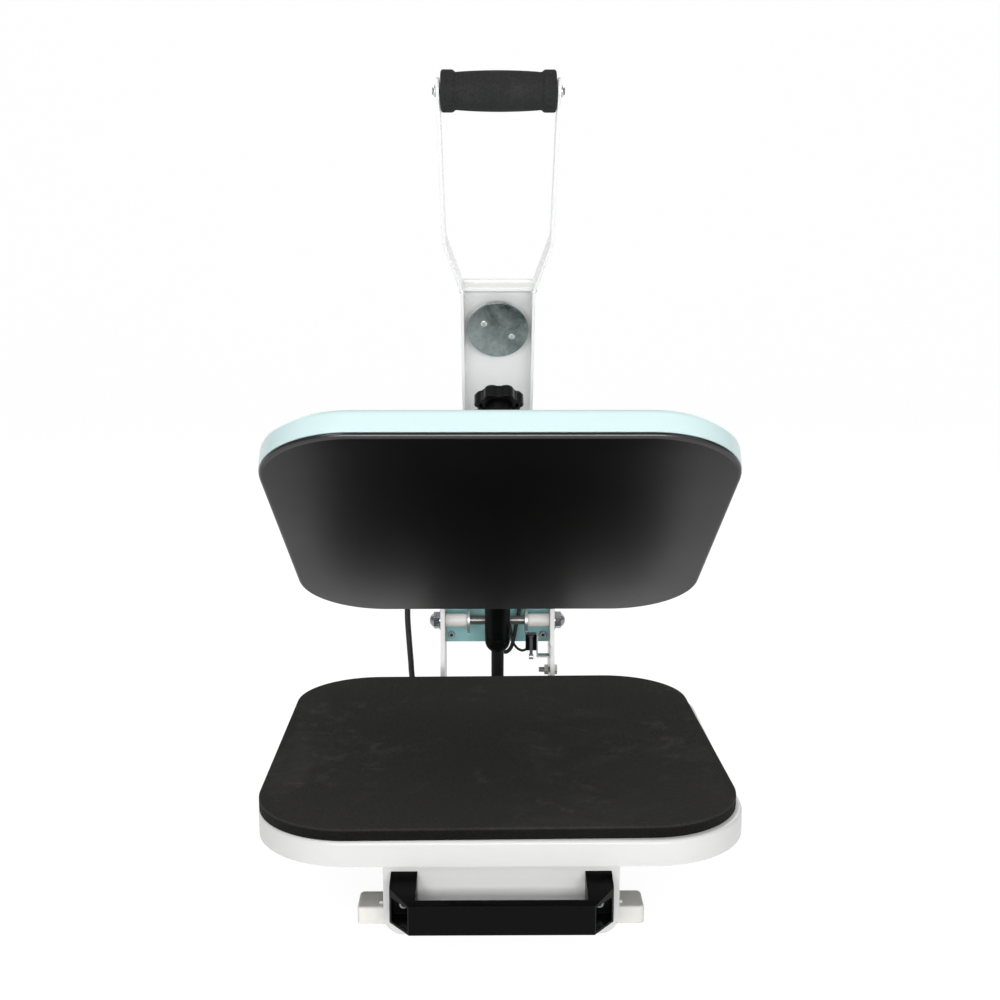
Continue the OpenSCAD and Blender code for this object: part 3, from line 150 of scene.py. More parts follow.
LEAD_D = 0.007
COIL_PITCH = 0.0076
COIL_INNER = 0.028
COIL_TURNS = 3
COIL_DIP = 0.0012
COIL_CENTRE = (0.004, 0.3045)
COIL_START = 81
LEAD_POINTS = [
    (-0.1075, 0.2905, 0.119), (-0.1075, 0.2905, 0.105), (-0.1066, 0.2905, 0.088), (-0.1053, 0.2906, 0.068),
    (-0.1042, 0.2909, 0.052), (-0.1035, 0.2915, 0.038), (-0.1018, 0.2934, 0.025), (-0.0968, 0.2989, 0.014),
    (-0.0894, 0.3070, 0.0066), (-0.0807, 0.3167, 0.0040), (-0.070, 0.3277, 0.0037),
    (-0.058, 0.3385, 0.0036), (-0.0445, 0.3485, 0.0036), (-0.029, 0.3565, 0.0036), (-0.0125, 0.3610, 0.00355)]


def coil_radius(turn):
    """Radius of the coil after a number of turns: inwards, a short level stretch, and outwards again."""
    outer = COIL_INNER + COIL_TURNS * COIL_PITCH
    if turn < COIL_TURNS:
        return outer - COIL_PITCH * turn
    if turn < COIL_TURNS + 0.5:
        return COIL_INNER - COIL_DIP * math.sin(math.tau * (turn - COIL_TURNS))
    return COIL_INNER + COIL_PITCH * (turn - COIL_TURNS - 0.5)


def coil_line(steps=24):
    """Middle line of the coil: in along the lower layer, up, and out along the upper one."""
    line = []
    for i in range(int(steps * (2 * COIL_TURNS + 0.5)) + 1):
        turn = i / steps
        angle = math.radians(COIL_START - 360 * turn)
        climb = min(1, max(0, 2 * (turn - COIL_TURNS)))
        height = LEAD_D / 2 + COIL_PITCH * (1 - math.cos(math.pi * climb)) / 2
        line.append(Vector((
            COIL_CENTRE[0] + coil_radius(turn) * math.cos(angle),
            COIL_CENTRE[1] + coil_radius(turn) * math.sin(angle), height)))
    return line


def run_on(end, before):
    """A point one diameter further on, level."""
    way = end - before
    way.z = 0
    return end + way.normalized() * LEAD_D


def through(points, steps=6):
    """A smooth curve through points."""
    line = []
    for i in range(len(points) - 1):
        a, b, c, d = (Vector(points[min(max(k, 0), len(points) - 1)]) for k in (i - 1, i, i + 1, i + 2))
        for k in range(steps):
            t = k / steps
            line.append(0.5 * (
                2 * b + (c - a) * t + (2 * a - 5 * b + 4 * c - d) * t ** 2 + (3 * b - a - 3 * c + d) * t ** 3))
    return line + [Vector(points[-1])]


def choose(piece):
    """Selects one piece alone and makes it the active one."""
    bpy.ops.object.select_all(action="DESELECT")
    piece.select_set(True)
    bpy.context.view_layer.objects.active = piece


def wire(name, line, thickness, sides=4, swell=None):
    """A round wire along a line, closed at its ends. swell lists a share of the thickness per point."""
    curve = bpy.data.curves.new(name, "CURVE")
    curve.dimensions, curve.bevel_depth, curve.bevel_resolution = "3D", thickness / 2, sides
    curve.use_fill_caps = True
    spline = curve.splines.new("POLY")
    spline.points.add(len(line) - 1)
    for point, place in zip(spline.points, line):
        point.co = (*place, 1)
    for point, share in zip(spline.points, swell or ()):
        point.radius = share
    piece = bpy.data.objects.new(name, curve)
    bpy.context.scene.collection.objects.link(piece)
    choose(piece)
    bpy.ops.object.convert(target="MESH")
    return bpy.context.active_object


COIL = coil_line()
LEAD_LINE = through(LEAD_POINTS + [run_on(COIL[0], COIL[1])]) + COIL + [run_on(COIL[-1], COIL[-2])]
mains_lead = wire("mains_lead", LEAD_LINE, LEAD_D)
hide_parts("mains_cord", "cord_coil")
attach(mains_lead, "base")


# ---- Materials ----

class Value:
    """A number that changes over a surface. Plain maths on it adds the Math nodes."""

    def __init__(self, finish, socket):
        self.finish, self.socket = finish, socket

    def _maths(self, operation, *values):
        return self.finish.node("ShaderNodeMath", {"operation": operation}, dict(enumerate(values)))

    def __add__(self, other):
        return self._maths("ADD", self, other)

    def __sub__(self, other):
        return self._maths("SUBTRACT", self, other)

    def __rsub__(self, other):
        return self._maths("SUBTRACT", other, self)

    def __mul__(self, other):
        return self._maths("MULTIPLY", self, other)

    __radd__, __rmul__ = __add__, __mul__

    def between(self, low, high):
        """0 below low, 1 above high, and smooth in between."""
        return self.finish.node(
            "ShaderNodeMapRange", {"interpolation_type": "SMOOTHSTEP"}, {0: self, 1: low, 2: high})


class Finish:
    """A material of the press. node() adds any node that it needs."""

    def __init__(self, name, colour, rough, metal=0.0, coat=0.0, coat_rough=0.1, specular=0.5):
        self.material = bpy.data.materials.new(name)
        self.material.use_nodes = True
        self.tree = self.material.node_tree
        self.shader = self.tree.nodes["Principled BSDF"]
        self.material.diffuse_color = (*colour, 1)
        self.put("Base Color", (*colour, 1))
        self.put("Roughness", rough)
        self.put("Metallic", metal)
        self.put("Coat Weight", coat)
        self.put("Coat Roughness", coat_rough)
        self.put("Specular IOR Level", specular)
        self.place = self.node("ShaderNodeTexCoord", {}, {}, "Object")

    def node(self, kind, settings, sockets, out=0):
        """Adds a node: its settings first, then the values or links of its sockets."""
        made = self.tree.nodes.new(kind)
        for key, value in settings.items():
            setattr(made, key, value)
        for key, value in sockets.items():
            self._join(made.inputs[key], value)
        return Value(self, made.outputs[out])

    def _join(self, socket, value):
        if isinstance(value, Value):
            self.tree.links.new(value.socket, socket)
        else:
            socket.default_value = value

    def put(self, socket, value):
        """Sets or links a socket of the main shader."""
        self._join(self.shader.inputs[socket], value)

    def noise(self, scale, detail=2.0, rough=0.5, place=None, distortion=0.0):
        """Clouds of a scale, from 0 to 1."""
        return self.node("ShaderNodeTexNoise", {}, {
            "Vector": place or self.place, "Scale": scale, "Detail": detail, "Roughness": rough,
            "Distortion": distortion}, "Fac")

    def cells(self, scale, feature="F1"):
        """The distance to the middle of a cell, or to its edge."""
        return self.node("ShaderNodeTexVoronoi", {"feature": feature}, {
            "Vector": self.place, "Scale": scale}, "Distance")

    def stretched(self, x, y, z):
        """Object coordinates, stretched along an axis where its number is small."""
        return self.node("ShaderNodeMapping", {}, {"Vector": self.place, "Scale": (x, y, z)})

    def along(self, axis):
        """The object coordinate along one axis."""
        return self.node("ShaderNodeSeparateXYZ", {}, {0: self.place}, axis)

    def mix(self, share, one, other):
        """A colour between two, by a share."""
        return self.node("ShaderNodeMix", {"data_type": "RGBA"}, {0: share, 6: one, 7: other}, 2)

    def marked(self, name):
        """1 on the faces that carry a mark of this name, and 0 elsewhere."""
        return self.node("ShaderNodeAttribute", {"attribute_name": name}, {}, 2)

    def bump(self, height, depth, strength=1.0):
        """Relief of a depth in metres."""
        self.put("Normal", self.node("ShaderNodeBump", {}, {
            "Height": height, "Distance": depth, "Strength": strength}))
        return self


def shade(colour, by):
    """A colour made darker or lighter."""
    return (*(c * by for c in colour[:3]), 1)


def powder_coat(name, colour, rough=0.34):
    """Baked paint: faint orange peel, a little uneven in gloss, and dust in broad patches."""
    coat = Finish(name, colour, rough, coat=0.12, coat_rough=0.12)
    broad = coat.noise(7, 3)
    fine = coat.noise(420, 2)
    dust = coat.noise(26, 6, 0.65).between(0.56, 0.8)
    coat.put("Base Color", coat.mix(dust * 0.5, coat.mix(broad, shade(colour, 0.97), shade(colour, 1.0)),
                                    shade(colour, 0.93)))
    coat.put("Roughness", rough - 0.04 + broad * 0.08 + dust * 0.08)
    return coat.bump(fine + coat.noise(1500, 1) * 0.3, 0.00006, 0.35)


def non_stick_coat():
    """The heated face's satin coat: fine sprayed grain, slightly cloudy gloss."""
    coat = Finish("non_stick_coat", (0.006, 0.006, 0.0062), 0.3, specular=0.21)
    coat.put("Coat Weight", coat.marked("fillet"))
    coat.put("Coat Roughness", 0.22)
    cloud = coat.noise(11, 4, 0.6)
    grain = coat.noise(2200, 2)
    speck = coat.cells(1500).between(0.05, 0.12)
    coat.put("Base Color", coat.mix(speck, (0.006, 0.006, 0.0062, 1), coat.mix(
        cloud, (0.0022, 0.0022, 0.0023, 1), (0.0035, 0.0035, 0.0036, 1))))
    coat.put("Roughness", 0.31 + cloud * 0.08 + grain * 0.05)
    return coat.bump(grain, 0.00002, 0.5)


def sponge_rubber():
    """The pad: dense black sponge with open pores, rubbed patches, lint here and there, and darker cut sides."""
    sponge = Finish("sponge_rubber", (0.017, 0.0165, 0.016), 0.93, specular=0.15)
    sponge.shader.inputs["Sheen Weight"].default_value = 0.03
    sponge.shader.inputs["Sheen Roughness"].default_value = 0.4
    pores = sponge.cells(520).between(0.05, 0.6)
    grain = sponge.noise(480, 5, 0.8).between(0.38, 0.64)
    rubbed = sponge.noise(9, 5, 0.62, distortion=0.6).between(0.5, 0.74)
    dust = sponge.noise(48, 6, 0.7, distortion=0.8).between(0.50, 0.66) * sponge.noise(11, 2).between(0.46, 0.60)
    lint = sponge.noise(170, 2, 0.5, distortion=2.5).between(0.68, 0.76) * sponge.noise(14, 3).between(0.48, 0.60)
    height = sponge.along("Z")
    depth = sponge.along("Y")
    top = height.between(PAD_TOP - 0.0028, PAD_TOP - 0.0012)
    # The face is mixed lighter in rubbed patches and evenly lighter towards the front of the pad.
    front = 1 - depth.between(PAD_LOW.y, PLATE_MIDDLE.y + 0.05)
    base = sponge.mix(grain, (0.0120, 0.0117, 0.0109, 1), (0.0300, 0.0290, 0.0270, 1))
    worn = sponge.mix(rubbed * 0.45 + front * 0.4, base, (0.0345, 0.0333, 0.0310, 1))
    dusty = sponge.mix(dust * 0.4, worn, (0.066, 0.063, 0.057, 1))
    face = sponge.mix(lint * 0.5, dusty, (0.10, 0.096, 0.088, 1))
    side = sponge.mix(pores, (0.0018, 0.0018, 0.0016, 1), (0.0062, 0.0060, 0.0053, 1))
    sponge.put("Base Color", sponge.mix(top, side, face))
    sponge.put("Roughness", 0.97 - rubbed * 0.12)
    return sponge.bump(pores * 0.5 + grain * 0.7, 0.0004, 0.9)


def grip_foam():
    """The grip's foam sleeve: close cells and a dull skin, a little shiny where hands hold it."""
    foam = Finish("grip_foam", (0.022, 0.022, 0.023), 0.85, specular=0.3)
    cells = foam.cells(900).between(0.0, 0.6)
    grain = foam.noise(520, 4, 0.7).between(0.35, 0.65)
    handled = foam.noise(38, 3).between(0.45, 0.75)
    foam.put("Base Color", foam.mix(grain, (0.014, 0.014, 0.0145, 1), (0.024, 0.024, 0.025, 1)))
    foam.put("Roughness", 0.92 - handled * 0.22)
    return foam.bump(cells * 0.5 + grain * 0.5, 0.0003, 0.8)


def zinc_plate(name="zinc_plate", tint=(0.60, 0.62, 0.63), rough=0.36):
    """Zinc plated steel: mottled bluish and straw clouds, faint drawing lines, small stains, and painted shade, near
    black, in screw sockets.
    """
    zinc = Finish(name, tint, rough, metal=1.0)
    clouds = zinc.noise(60, 5, 0.7, distortion=0.8)
    spots = zinc.noise(230, 4, 0.75).between(0.5, 0.72)
    lines = zinc.noise(1, 3, place=zinc.stretched(90, 1600, 1600))
    straw, blue = (tint[0] * 1.05, tint[1] * 0.99, tint[2] * 0.88, 1), (*(c * k for c, k in zip(
        tint, (0.86, 0.93, 1.02))), 1)
    plate = zinc.mix(spots * 0.6, zinc.mix(clouds.between(0.35, 0.65), blue, straw), shade(tint, 0.62))
    # Painted shade: the marked socket faces go near black.
    zinc.put("Base Color", zinc.mix(zinc.marked("sunk") * 0.93, plate, (0.01, 0.01, 0.01, 1)))
    zinc.put("Roughness", rough - 0.08 + clouds * 0.14 + spots * 0.16 + lines * 0.06)
    return zinc.bump(lines * 0.5 + spots * 0.5, 0.00003, 0.5)


def mottled_zinc():
    """The armature disc: old zinc with soft dark clouds and fine scuffs from the magnet, painted shade that darkens it
    towards the grip, and a painted highlight round its rim.
    """
    zinc = Finish("mottled_zinc", (0.34, 0.38, 0.37), 0.34, metal=1.0)
    clouds = zinc.noise(26, 7, 0.68, distortion=0.5).between(0.30, 0.70)
    fine = zinc.noise(210, 4, 0.7).between(0.3, 0.75)
    height = zinc.along("Z")
    # Painted shade: the disc's upper part, towards the grip, is mixed towards near black below.
    middle = (ON_HANDLE @ (Vector(DISC_AT) * MM)).z
    upper = height.between(middle - 0.012, middle + 0.028)
    swirl = zinc.noise(58, 5, 0.62, distortion=1.6).between(0.42, 0.62)
    base = zinc.mix(clouds, (0.22, 0.26, 0.255, 1), (0.70, 0.75, 0.735, 1))
    worn = zinc.mix(swirl * 0.3, zinc.mix(fine * 0.3, base, (0.15, 0.175, 0.17, 1)), (0.62, 0.66, 0.65, 1))
    face = zinc.mix(upper * (1 - clouds * 0.55) * 1.15, worn, (0.012, 0.02, 0.02, 1))
    # Painted highlight: the marked rim faces are painted a bright zinc.
    zinc.put("Base Color", zinc.mix(zinc.marked("rim"), face, (0.86, 0.88, 0.88, 1)))
    zinc.put("Roughness", 0.44 - clouds * 0.12 + fine * 0.1)
    return zinc.bump(fine, 0.00003, 0.4)


def turned_steel(name, tint, rough):
    """Bare steel with fine lathe lines round its axis, and painted shade, near black, in screw sockets."""
    steel = Finish(name, tint, rough, metal=1.0)
    lines = steel.noise(1, 2, place=steel.stretched(1600, 60, 60))
    film = steel.noise(45, 4, 0.6)
    bare = steel.mix(film.between(0.4, 0.7), shade(tint, 1.0), shade(tint, 0.8))
    # Painted shade: the marked socket faces go near black.
    steel.put("Base Color", steel.mix(steel.marked("sunk") * 0.93, bare, (0.01, 0.01, 0.01, 1)))
    steel.put("Roughness", rough + film * 0.1 + lines * 0.06)
    return steel.bump(lines, 0.00002, 0.5)


def moulded_plastic(name, colour, rough, specular=0.3):
    """Moulded plastic with a fine spark eroded grain and slightly polished patches."""
    plastic = Finish(name, colour, rough, specular=specular)
    texture = plastic.noise(900, 3, 0.6)
    polish = plastic.noise(30, 3).between(0.4, 0.75)
    plastic.put("Base Color", plastic.mix(polish, shade(colour, 0.92), shade(colour, 1.08)))
    plastic.put("Roughness", rough + 0.06 - polish * 0.12 + texture * 0.05)
    return plastic.bump(texture, 0.00005, 0.45)


def nylon():
    """Turned white nylon: milky, with faint tool rings."""
    white = Finish("turned_nylon", (0.80, 0.79, 0.75), 0.42, specular=0.5)
    white.shader.inputs["Subsurface Weight"].default_value = 0.15
    white.shader.inputs["Subsurface Radius"].default_value = (0.002, 0.002, 0.0015)
    rings = white.noise(1, 2, place=white.stretched(2400, 40, 40))
    white.put("Base Color", white.mix(white.noise(120, 3), (0.76, 0.75, 0.70, 1), (0.84, 0.83, 0.80, 1)))
    white.put("Roughness", 0.38 + rings * 0.1)
    return white.bump(rings, 0.00003, 0.5)


def cord_rubber():
    """Lead sheath: matt rubbery plastic with talc in broad patches."""
    sheath = Finish("cord_sheath", (0.013, 0.013, 0.0135), 0.55, specular=0.35)
    talc = sheath.noise(55, 5, 0.6).between(0.5, 0.8)
    sheath.put("Base Color", sheath.mix(talc, (0.010, 0.010, 0.0105, 1), (0.023, 0.023, 0.024, 1)))
    sheath.put("Roughness", 0.48 + talc * 0.2)
    return sheath.bump(sheath.noise(900, 2), 0.00004, 0.4)


def woven_mat():
    """Glass fibre mat: crossed rovings."""
    mat = Finish("woven_mat", (0.62, 0.56, 0.42), 0.8)
    across = mat.node("ShaderNodeTexWave", {"bands_direction": "X"}, {"Vector": mat.place, "Scale": 90.0}, "Fac")
    along = mat.node("ShaderNodeTexWave", {"bands_direction": "Y"}, {"Vector": mat.place, "Scale": 90.0}, "Fac")
    mat.put("Base Color", mat.mix(across * along, (0.46, 0.40, 0.28, 1), (0.70, 0.64, 0.50, 1)))
    mat.put("Roughness", 0.7 + across * 0.2)
    return mat.bump(across * along, 0.0003, 0.6)


def tinted_window():
    """Dark red window over the number display."""
    window = Finish("tinted_window", (0.035, 0.004, 0.005), 0.08, coat=0.6, coat_rough=0.03)
    smear = window.noise(60, 4, 0.6)
    window.put("Roughness", 0.06 + smear * 0.1)
    window.put("Base Color", window.mix(smear, (0.030, 0.004, 0.005, 1), (0.042, 0.006, 0.007, 1)))
    return window


def printed_board():
    """Green circuit board with pale tracks."""
    board = Finish("printed_board", (0.01, 0.09, 0.035), 0.35, coat=0.3)
    tracks = board.cells(230, "DISTANCE_TO_EDGE").between(0.02, 0.05)
    board.put("Base Color", board.mix(tracks, (0.05, 0.22, 0.09, 1), (0.012, 0.10, 0.04, 1)))
    board.put("Roughness", 0.3 + board.noise(200, 2) * 0.15)
    return board.bump(1 - tracks, 0.00003, 0.6)


def plug_plastic():
    """The plug: the sheath's plastic, and bare blades where a face is marked."""
    plug = moulded_plastic("plug_plastic", (0.018, 0.018, 0.0185), 0.42)
    blade = plug.marked("blade")
    scuffs = plug.noise(160, 3).between(0.4, 0.7)
    plug.put("Metallic", blade)
    plug.put("Base Color", plug.mix(blade, (0.018, 0.018, 0.0185, 1), plug.mix(
        scuffs, (0.74, 0.68, 0.52, 1), (0.62, 0.55, 0.40, 1))))
    return plug


def rubbed_brass():
    """Brass of the bush: bright where it is rubbed, with brown tarnish."""
    brass = Finish("rubbed_brass", (0.62, 0.44, 0.19), 0.3, metal=1.0)
    tarnish = brass.noise(90, 5, 0.65).between(0.45, 0.7)
    brass.put("Base Color", brass.mix(tarnish, (0.66, 0.48, 0.22, 1), (0.40, 0.27, 0.11, 1)))
    brass.put("Roughness", 0.24 + tarnish * 0.25)
    return brass.bump(brass.noise(1, 2, place=brass.stretched(60, 60, 1500)), 0.00003, 0.5)


FINISHES = {
    "mint_paint": powder_coat("mint_powder_coat", (0.59, 0.745, 0.75), 0.3),
    "white_paint": powder_coat("white_powder_coat", (0.82, 0.82, 0.81)),
    # Painted shade: a darker copy of the white paint, for the lower plate and the drawer's front panel.
    "plate_white": powder_coat("plate_powder_coat", (0.62, 0.62, 0.614)),
    # Painted shade: a darker, deeper copy of the mint paint, for the rear plate.
    "rear_mint": powder_coat("rear_plate_coat", (0.29, 0.56, 0.565), 0.34),
    # Painted light: a lighter copy of the white paint, for the handle bars, the channel and the handle's welds.
    "handle_white": powder_coat("handle_powder_coat", (0.89, 0.89, 0.88)),
    "platen_black": non_stick_coat(),
    "zinc": zinc_plate(),
    "bright_steel": turned_steel("bright_steel", (0.66, 0.66, 0.67), 0.16),
    "dark_steel": turned_steel("oiled_steel", (0.24, 0.235, 0.23), 0.3),
    "gas_black": Finish("black_lacquer", (0.0014, 0.0026, 0.0022), 0.3, coat=0.02, coat_rough=0.1, specular=0.06),
    "pad_rubber": sponge_rubber(),
    "grip_foam": grip_foam(),
    "black_plastic": moulded_plastic("black_plastic", (0.0019, 0.0019, 0.0019), 0.26, specular=0.07),
    "grey_plastic": moulded_plastic("grey_plastic", (0.42, 0.43, 0.44), 0.4),
    "white_nylon": nylon(),
    "feet_rubber": moulded_plastic("grey_feet", (0.78, 0.77, 0.73), 0.6),
    "window_red": tinted_window(),
    "board_green": printed_board(),
    "mat_glass": woven_mat(),
    "cord_black": cord_rubber(),
    "disc": mottled_zinc(),
    "stud": zinc_plate("bright_zinc", (0.92, 0.93, 0.93), 0.28),
    "nut": zinc_plate("nut_zinc", (0.29, 0.30, 0.31), 0.22),
    "knob": moulded_plastic("knob_plastic", (0.0020, 0.0020, 0.0021), 0.24, specular=0.27),
    "rod": moulded_plastic("rod_lacquer", (0.004, 0.004, 0.004), 0.3, specular=0.3),
    "lever": turned_steel("blued_spring", (0.10, 0.105, 0.11), 0.35),
    "brass": rubbed_brass(),
    "plug": plug_plastic(),
}
lacquer = FINISHES["gas_black"]
lacquer.put("Roughness", 0.24 + lacquer.noise(40, 4, 0.6) * 0.16)
lacquer.bump(lacquer.noise(500, 2), 0.00003, 0.3)


def paint(piece, slot, finish=None):
    """Gives a piece its finish: the one given, or else the finish of the record's slot."""
    piece.data.materials.clear()
    piece.data.materials.append((finish or FINISHES[slot]).material)
    "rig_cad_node" not in piece


paint(mains_lead, "cord_black")


# ---- Modelling helpers ----

def soften(piece, edge, steps=2):
    """Rounds a piece's edges and shades its curves smooth."""
    sharp = math.radians(32)
    choose(piece)
    bpy.ops.object.shade_smooth_by_angle(angle=sharp)
    bevel = piece.modifiers.new("edges", "BEVEL")
    bevel.width, bevel.segments, bevel.limit_method = edge, steps, "ANGLE"
    bevel.angle_limit = sharp
    bevel.harden_normals = True
    bevel.use_clamp_overlap = True
    return piece


def dress(node, edge, steps=2):
    """A copy of a CAD node with merged faces and rounded edges, which stands for the node."""
    choose(NODES[node])
    bpy.ops.object.duplicate()
    piece = bpy.context.active_object
    piece.name = node + "_dressed"
    del piece["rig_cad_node"]
    choose(piece)
    bpy.ops.object.mode_set(mode="EDIT")
    bpy.ops.mesh.select_all(action="SELECT")
    bpy.ops.mesh.remove_doubles(threshold=2e-6)
    bpy.ops.mesh.customdata_custom_splitnormals_clear()
    bpy.ops.mesh.dissolve_limited(angle_limit=math.radians(0.4))
    bpy.ops.object.mode_set(mode="OBJECT")
    soften(piece, edge, steps)
    paint(piece, SLOT_OF[node])
    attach(piece, BODY_OF[node])
    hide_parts(node)
    return piece


def lathe(name, profile, sides=48):
    """A turned piece about Z. The profile lists radii and heights in millimetres; a ring ends where it starts."""
    radius, height = profile[0]
    ring = tuple(profile[0]) == tuple(profile[-1])
    bpy.ops.mesh.primitive_circle_add(vertices=sides, radius=radius * MM, fill_type="NOTHING" if ring else "NGON")
    piece = bpy.context.active_object
    piece.name = name
    bpy.ops.object.mode_set(mode="EDIT")
    bpy.ops.mesh.select_mode(type="VERT")
    bpy.ops.mesh.select_all(action="SELECT")
    bpy.ops.transform.translate(value=(0, 0, height * MM))
    for new_radius, new_height in profile[1:]:
        bpy.ops.mesh.extrude_region_move(TRANSFORM_OT_translate={"value": (0, 0, (new_height - height) * MM)})
        share = new_radius / radius
        if share != 1:
            bpy.ops.transform.resize(value=(share, share, 1), center_override=(0, 0, 0))
        radius, height = new_radius, new_height
    bpy.ops.mesh.select_all(action="SELECT")
    bpy.ops.mesh.remove_doubles(threshold=1e-6)
    bpy.ops.mesh.normals_make_consistent(inside=False)
    bpy.ops.object.mode_set(mode="OBJECT")
    return piece


def set_down(piece, frame_of, place, axis="+Z"):
    """Moves a finished piece from the origin to its place, given in millimetres in a frame."""
    piece.matrix_world = frame_of @ Matrix.Translation(Vector(place) * MM) @ AXES[axis]
    choose(piece)
    bpy.ops.object.transform_apply()
    return piece


def again(piece, name):
    """A copy of a modelled piece, with its own mesh."""
    choose(piece)
    bpy.ops.object.duplicate()
    copy = bpy.context.active_object
    copy.name = name
    return copy


def together(name, pieces):
    """Joins pieces into one."""
    choose(pieces[0])
    for piece in pieces:
        piece.select_set(True)
    bpy.ops.object.join()
    pieces[0].name = name
    return pieces[0]


def hand_in(piece, slot, body, nodes=(), finish=None, edge=0.0, steps=2):
    """Gives a modelled piece its edges, its finish and its body."""
    choose(piece)
    if edge:
        soften(piece, edge * MM, steps)
    else:
        bpy.ops.object.shade_smooth_by_angle(angle=math.radians(35))
    paint(piece, slot, finish)
    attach(piece, body)
    if nodes:
        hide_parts(*nodes)
    return piece


def pick(piece, test):
    """Selects a piece's faces by a test of their middle and their outward direction."""
    choose(piece)
    bpy.ops.object.mode_set(mode="EDIT")
    bpy.ops.mesh.select_mode(type="FACE")
    bpy.ops.mesh.select_all(action="DESELECT")
    bpy.ops.object.mode_set(mode="OBJECT")
    for face in piece.data.polygons:
        face.select = test(face.center, face.normal)
    bpy.ops.object.mode_set(mode="EDIT")


def mark(piece, name, test):
    """Marks faces with the share that a test gives, for a finish to pick out."""
    marks = piece.data.attributes.new(name, "FLOAT", "FACE")
    for face in piece.data.polygons:
        marks.data[face.index].value = float(test(face.center, face.normal))


def recess(piece, test, rim, depth):
    """Sinks the faces that pass a test, inside a rim. Sizes in millimetres."""
    pick(piece, test)
    bpy.ops.mesh.inset(thickness=rim * MM, use_even_offset=True)
    bpy.ops.mesh.inset(thickness=0.15 * MM, depth=-depth * MM, use_even_offset=True)
    bpy.ops.object.mode_set(mode="OBJECT")


# ---- Fasteners ----

def socket_screw(name, shank, length, head, height):
    """A screw with a domed head and a six sided socket, pointing up out of its seat at the origin."""
    shank, head, key = shank / 2, head / 2, head * 0.26
    threads = [(shank * (0.9 if i % 2 else 1.0), -length + 0.4 + i * 0.45) for i in range(int((length - 0.8) / 0.45))]
    dome = [(head * math.cos(math.radians(a)), height * (0.25 + 0.75 * math.sin(math.radians(a)))) for a in (
        0, 15, 30, 45, 58)]
    screw = lathe(name, [(shank * 0.75, -length)] + threads + [(shank, 0), (head * 0.97, 0), (head, height * 0.12)]
                  + dome + [(key * 1.35, height)], 24)
    top = height * MM
    pick(screw, lambda middle, way: way.z > 0.99 and middle.z > top * 0.98)
    bpy.ops.mesh.delete(type="ONLY_FACE")
    bpy.ops.mesh.select_mode(type="EDGE")
    bpy.ops.mesh.select_all(action="DESELECT")
    bpy.ops.mesh.select_non_manifold()
    bpy.ops.mesh.primitive_circle_add(vertices=6, radius=key * MM, location=(0, 0, top))
    bpy.ops.mesh.select_non_manifold()
    bpy.ops.mesh.bridge_edge_loops()
    bpy.ops.mesh.select_all(action="DESELECT")
    bpy.ops.mesh.select_non_manifold()
    bpy.ops.mesh.extrude_region_move(TRANSFORM_OT_translate={"value": (0, 0, -top * 0.6)})
    bpy.ops.mesh.edge_face_add()
    bpy.ops.mesh.select_all(action="SELECT")
    bpy.ops.mesh.normals_make_consistent(inside=False)
    bpy.ops.object.mode_set(mode="OBJECT")
    # Marks the socket's faces, which the finishes paint near black as painted shade.
    mark(screw, "sunk", lambda middle, way: middle.z > 0.3 * top and (
        math.hypot(middle.x, middle.y) < key * MM * 0.98 and middle.z < top * 0.95))
    return screw


def hex_head(name, across, height, shank, length):
    """A bolt head or nut with turned corners and a washer face, and its threaded shank below."""
    shank, corner = shank / 2, across / 2 / math.cos(math.pi / 6)
    bolt = lathe(name, [(across * 0.49, 0), (across * 0.49, 0.3), (corner, 0.3), (corner, height - 0.5),
                        (across * 0.46, height)], 6)
    threads = [(shank * (0.9 if i % 2 else 1.0), -length + 0.4 + i * 0.5) for i in range(int((length - 0.4) / 0.5))]
    return together(name, [bolt, lathe(name, [(shank * 0.75, -length)] + threads + [(shank, 0.1)], 20)])


def scatter(name, master, spots):
    """Copies of a modelled piece, each set down in its frame, joined to one piece."""
    copies = [set_down(again(master, name), *spot) for spot in spots]
    bpy.data.objects.remove(master)
    return together(name, copies)


def frame_screws():
    """Screws of the feet, the rear plate and the control box, bolts of the uprights, and the stop bolt."""
    feet = scatter("feet_screws", socket_screw("feet_screws", 3.4, 8, 8, 3), [
        (PLAIN, (x * 89, y, 16.05), "+Z") for x in SIDES for y in FEET_Y])
    plate = scatter("rear_plate_screws", socket_screw("rear_plate_screws", 4, 5, 8.5, 3.4), [
        (PLAIN, (x * 52.7, 334.9, 103.5), "-Y") for x in SIDES])
    bolts = scatter("upright_bolts", hex_head("upright_bolts", 10, 4, 6, 6), [
        (PLAIN, (x * 71.7, y, 20.85), "+Z") for x in SIDES for y in (284, 330)])
    stop = set_down(hex_head("stop_bolt", 10, 4, 6, 17), PLAIN, (63.55, STOP_Y, STOP_Z), "+X")
    nut = set_down(hex_head("stop_nut", 10, 5, 6, 0.8), PLAIN, (57.7, STOP_Y, STOP_Z), "-X")
    back = scatter("back_screws", socket_screw("back_screws", 3, 4, 6.5, 2.2), [
        (PLAIN, (x * 116, 444, z), "+Y") for x in SIDES for z in (156, 290)])
    hand_in(back, "zinc", "base")
    for piece in (feet, plate, bolts, stop, nut):
        hand_in(piece, "zinc", "base", ["frame_screws"] if piece is feet else ())


def pull_and_grip_screws():
    """Screws in the pull's pockets, and the domed screws at both ends of the grip."""
    pull = scatter("pull_screws_dressed", socket_screw("pull_screws_dressed", 4, 17, 8, 3), [
        (PLAIN, (x * 73, -196.05, 41), "-Y") for x in SIDES])
    hand_in(pull, "zinc", "drawer", ["pull_screws"])
    grip = scatter("grip_screws_dressed", socket_screw("grip_screws_dressed", 6, 22, 11, 3.4), [
        (ON_HANDLE, (x * GRIP_SCREW_X, *GRIP_AT[1:]), "+X" if x > 0 else "-X") for x in SIDES])
    hand_in(grip, "bright_steel", "handle", ["grip_screws"])


# ---- Soft pieces ----

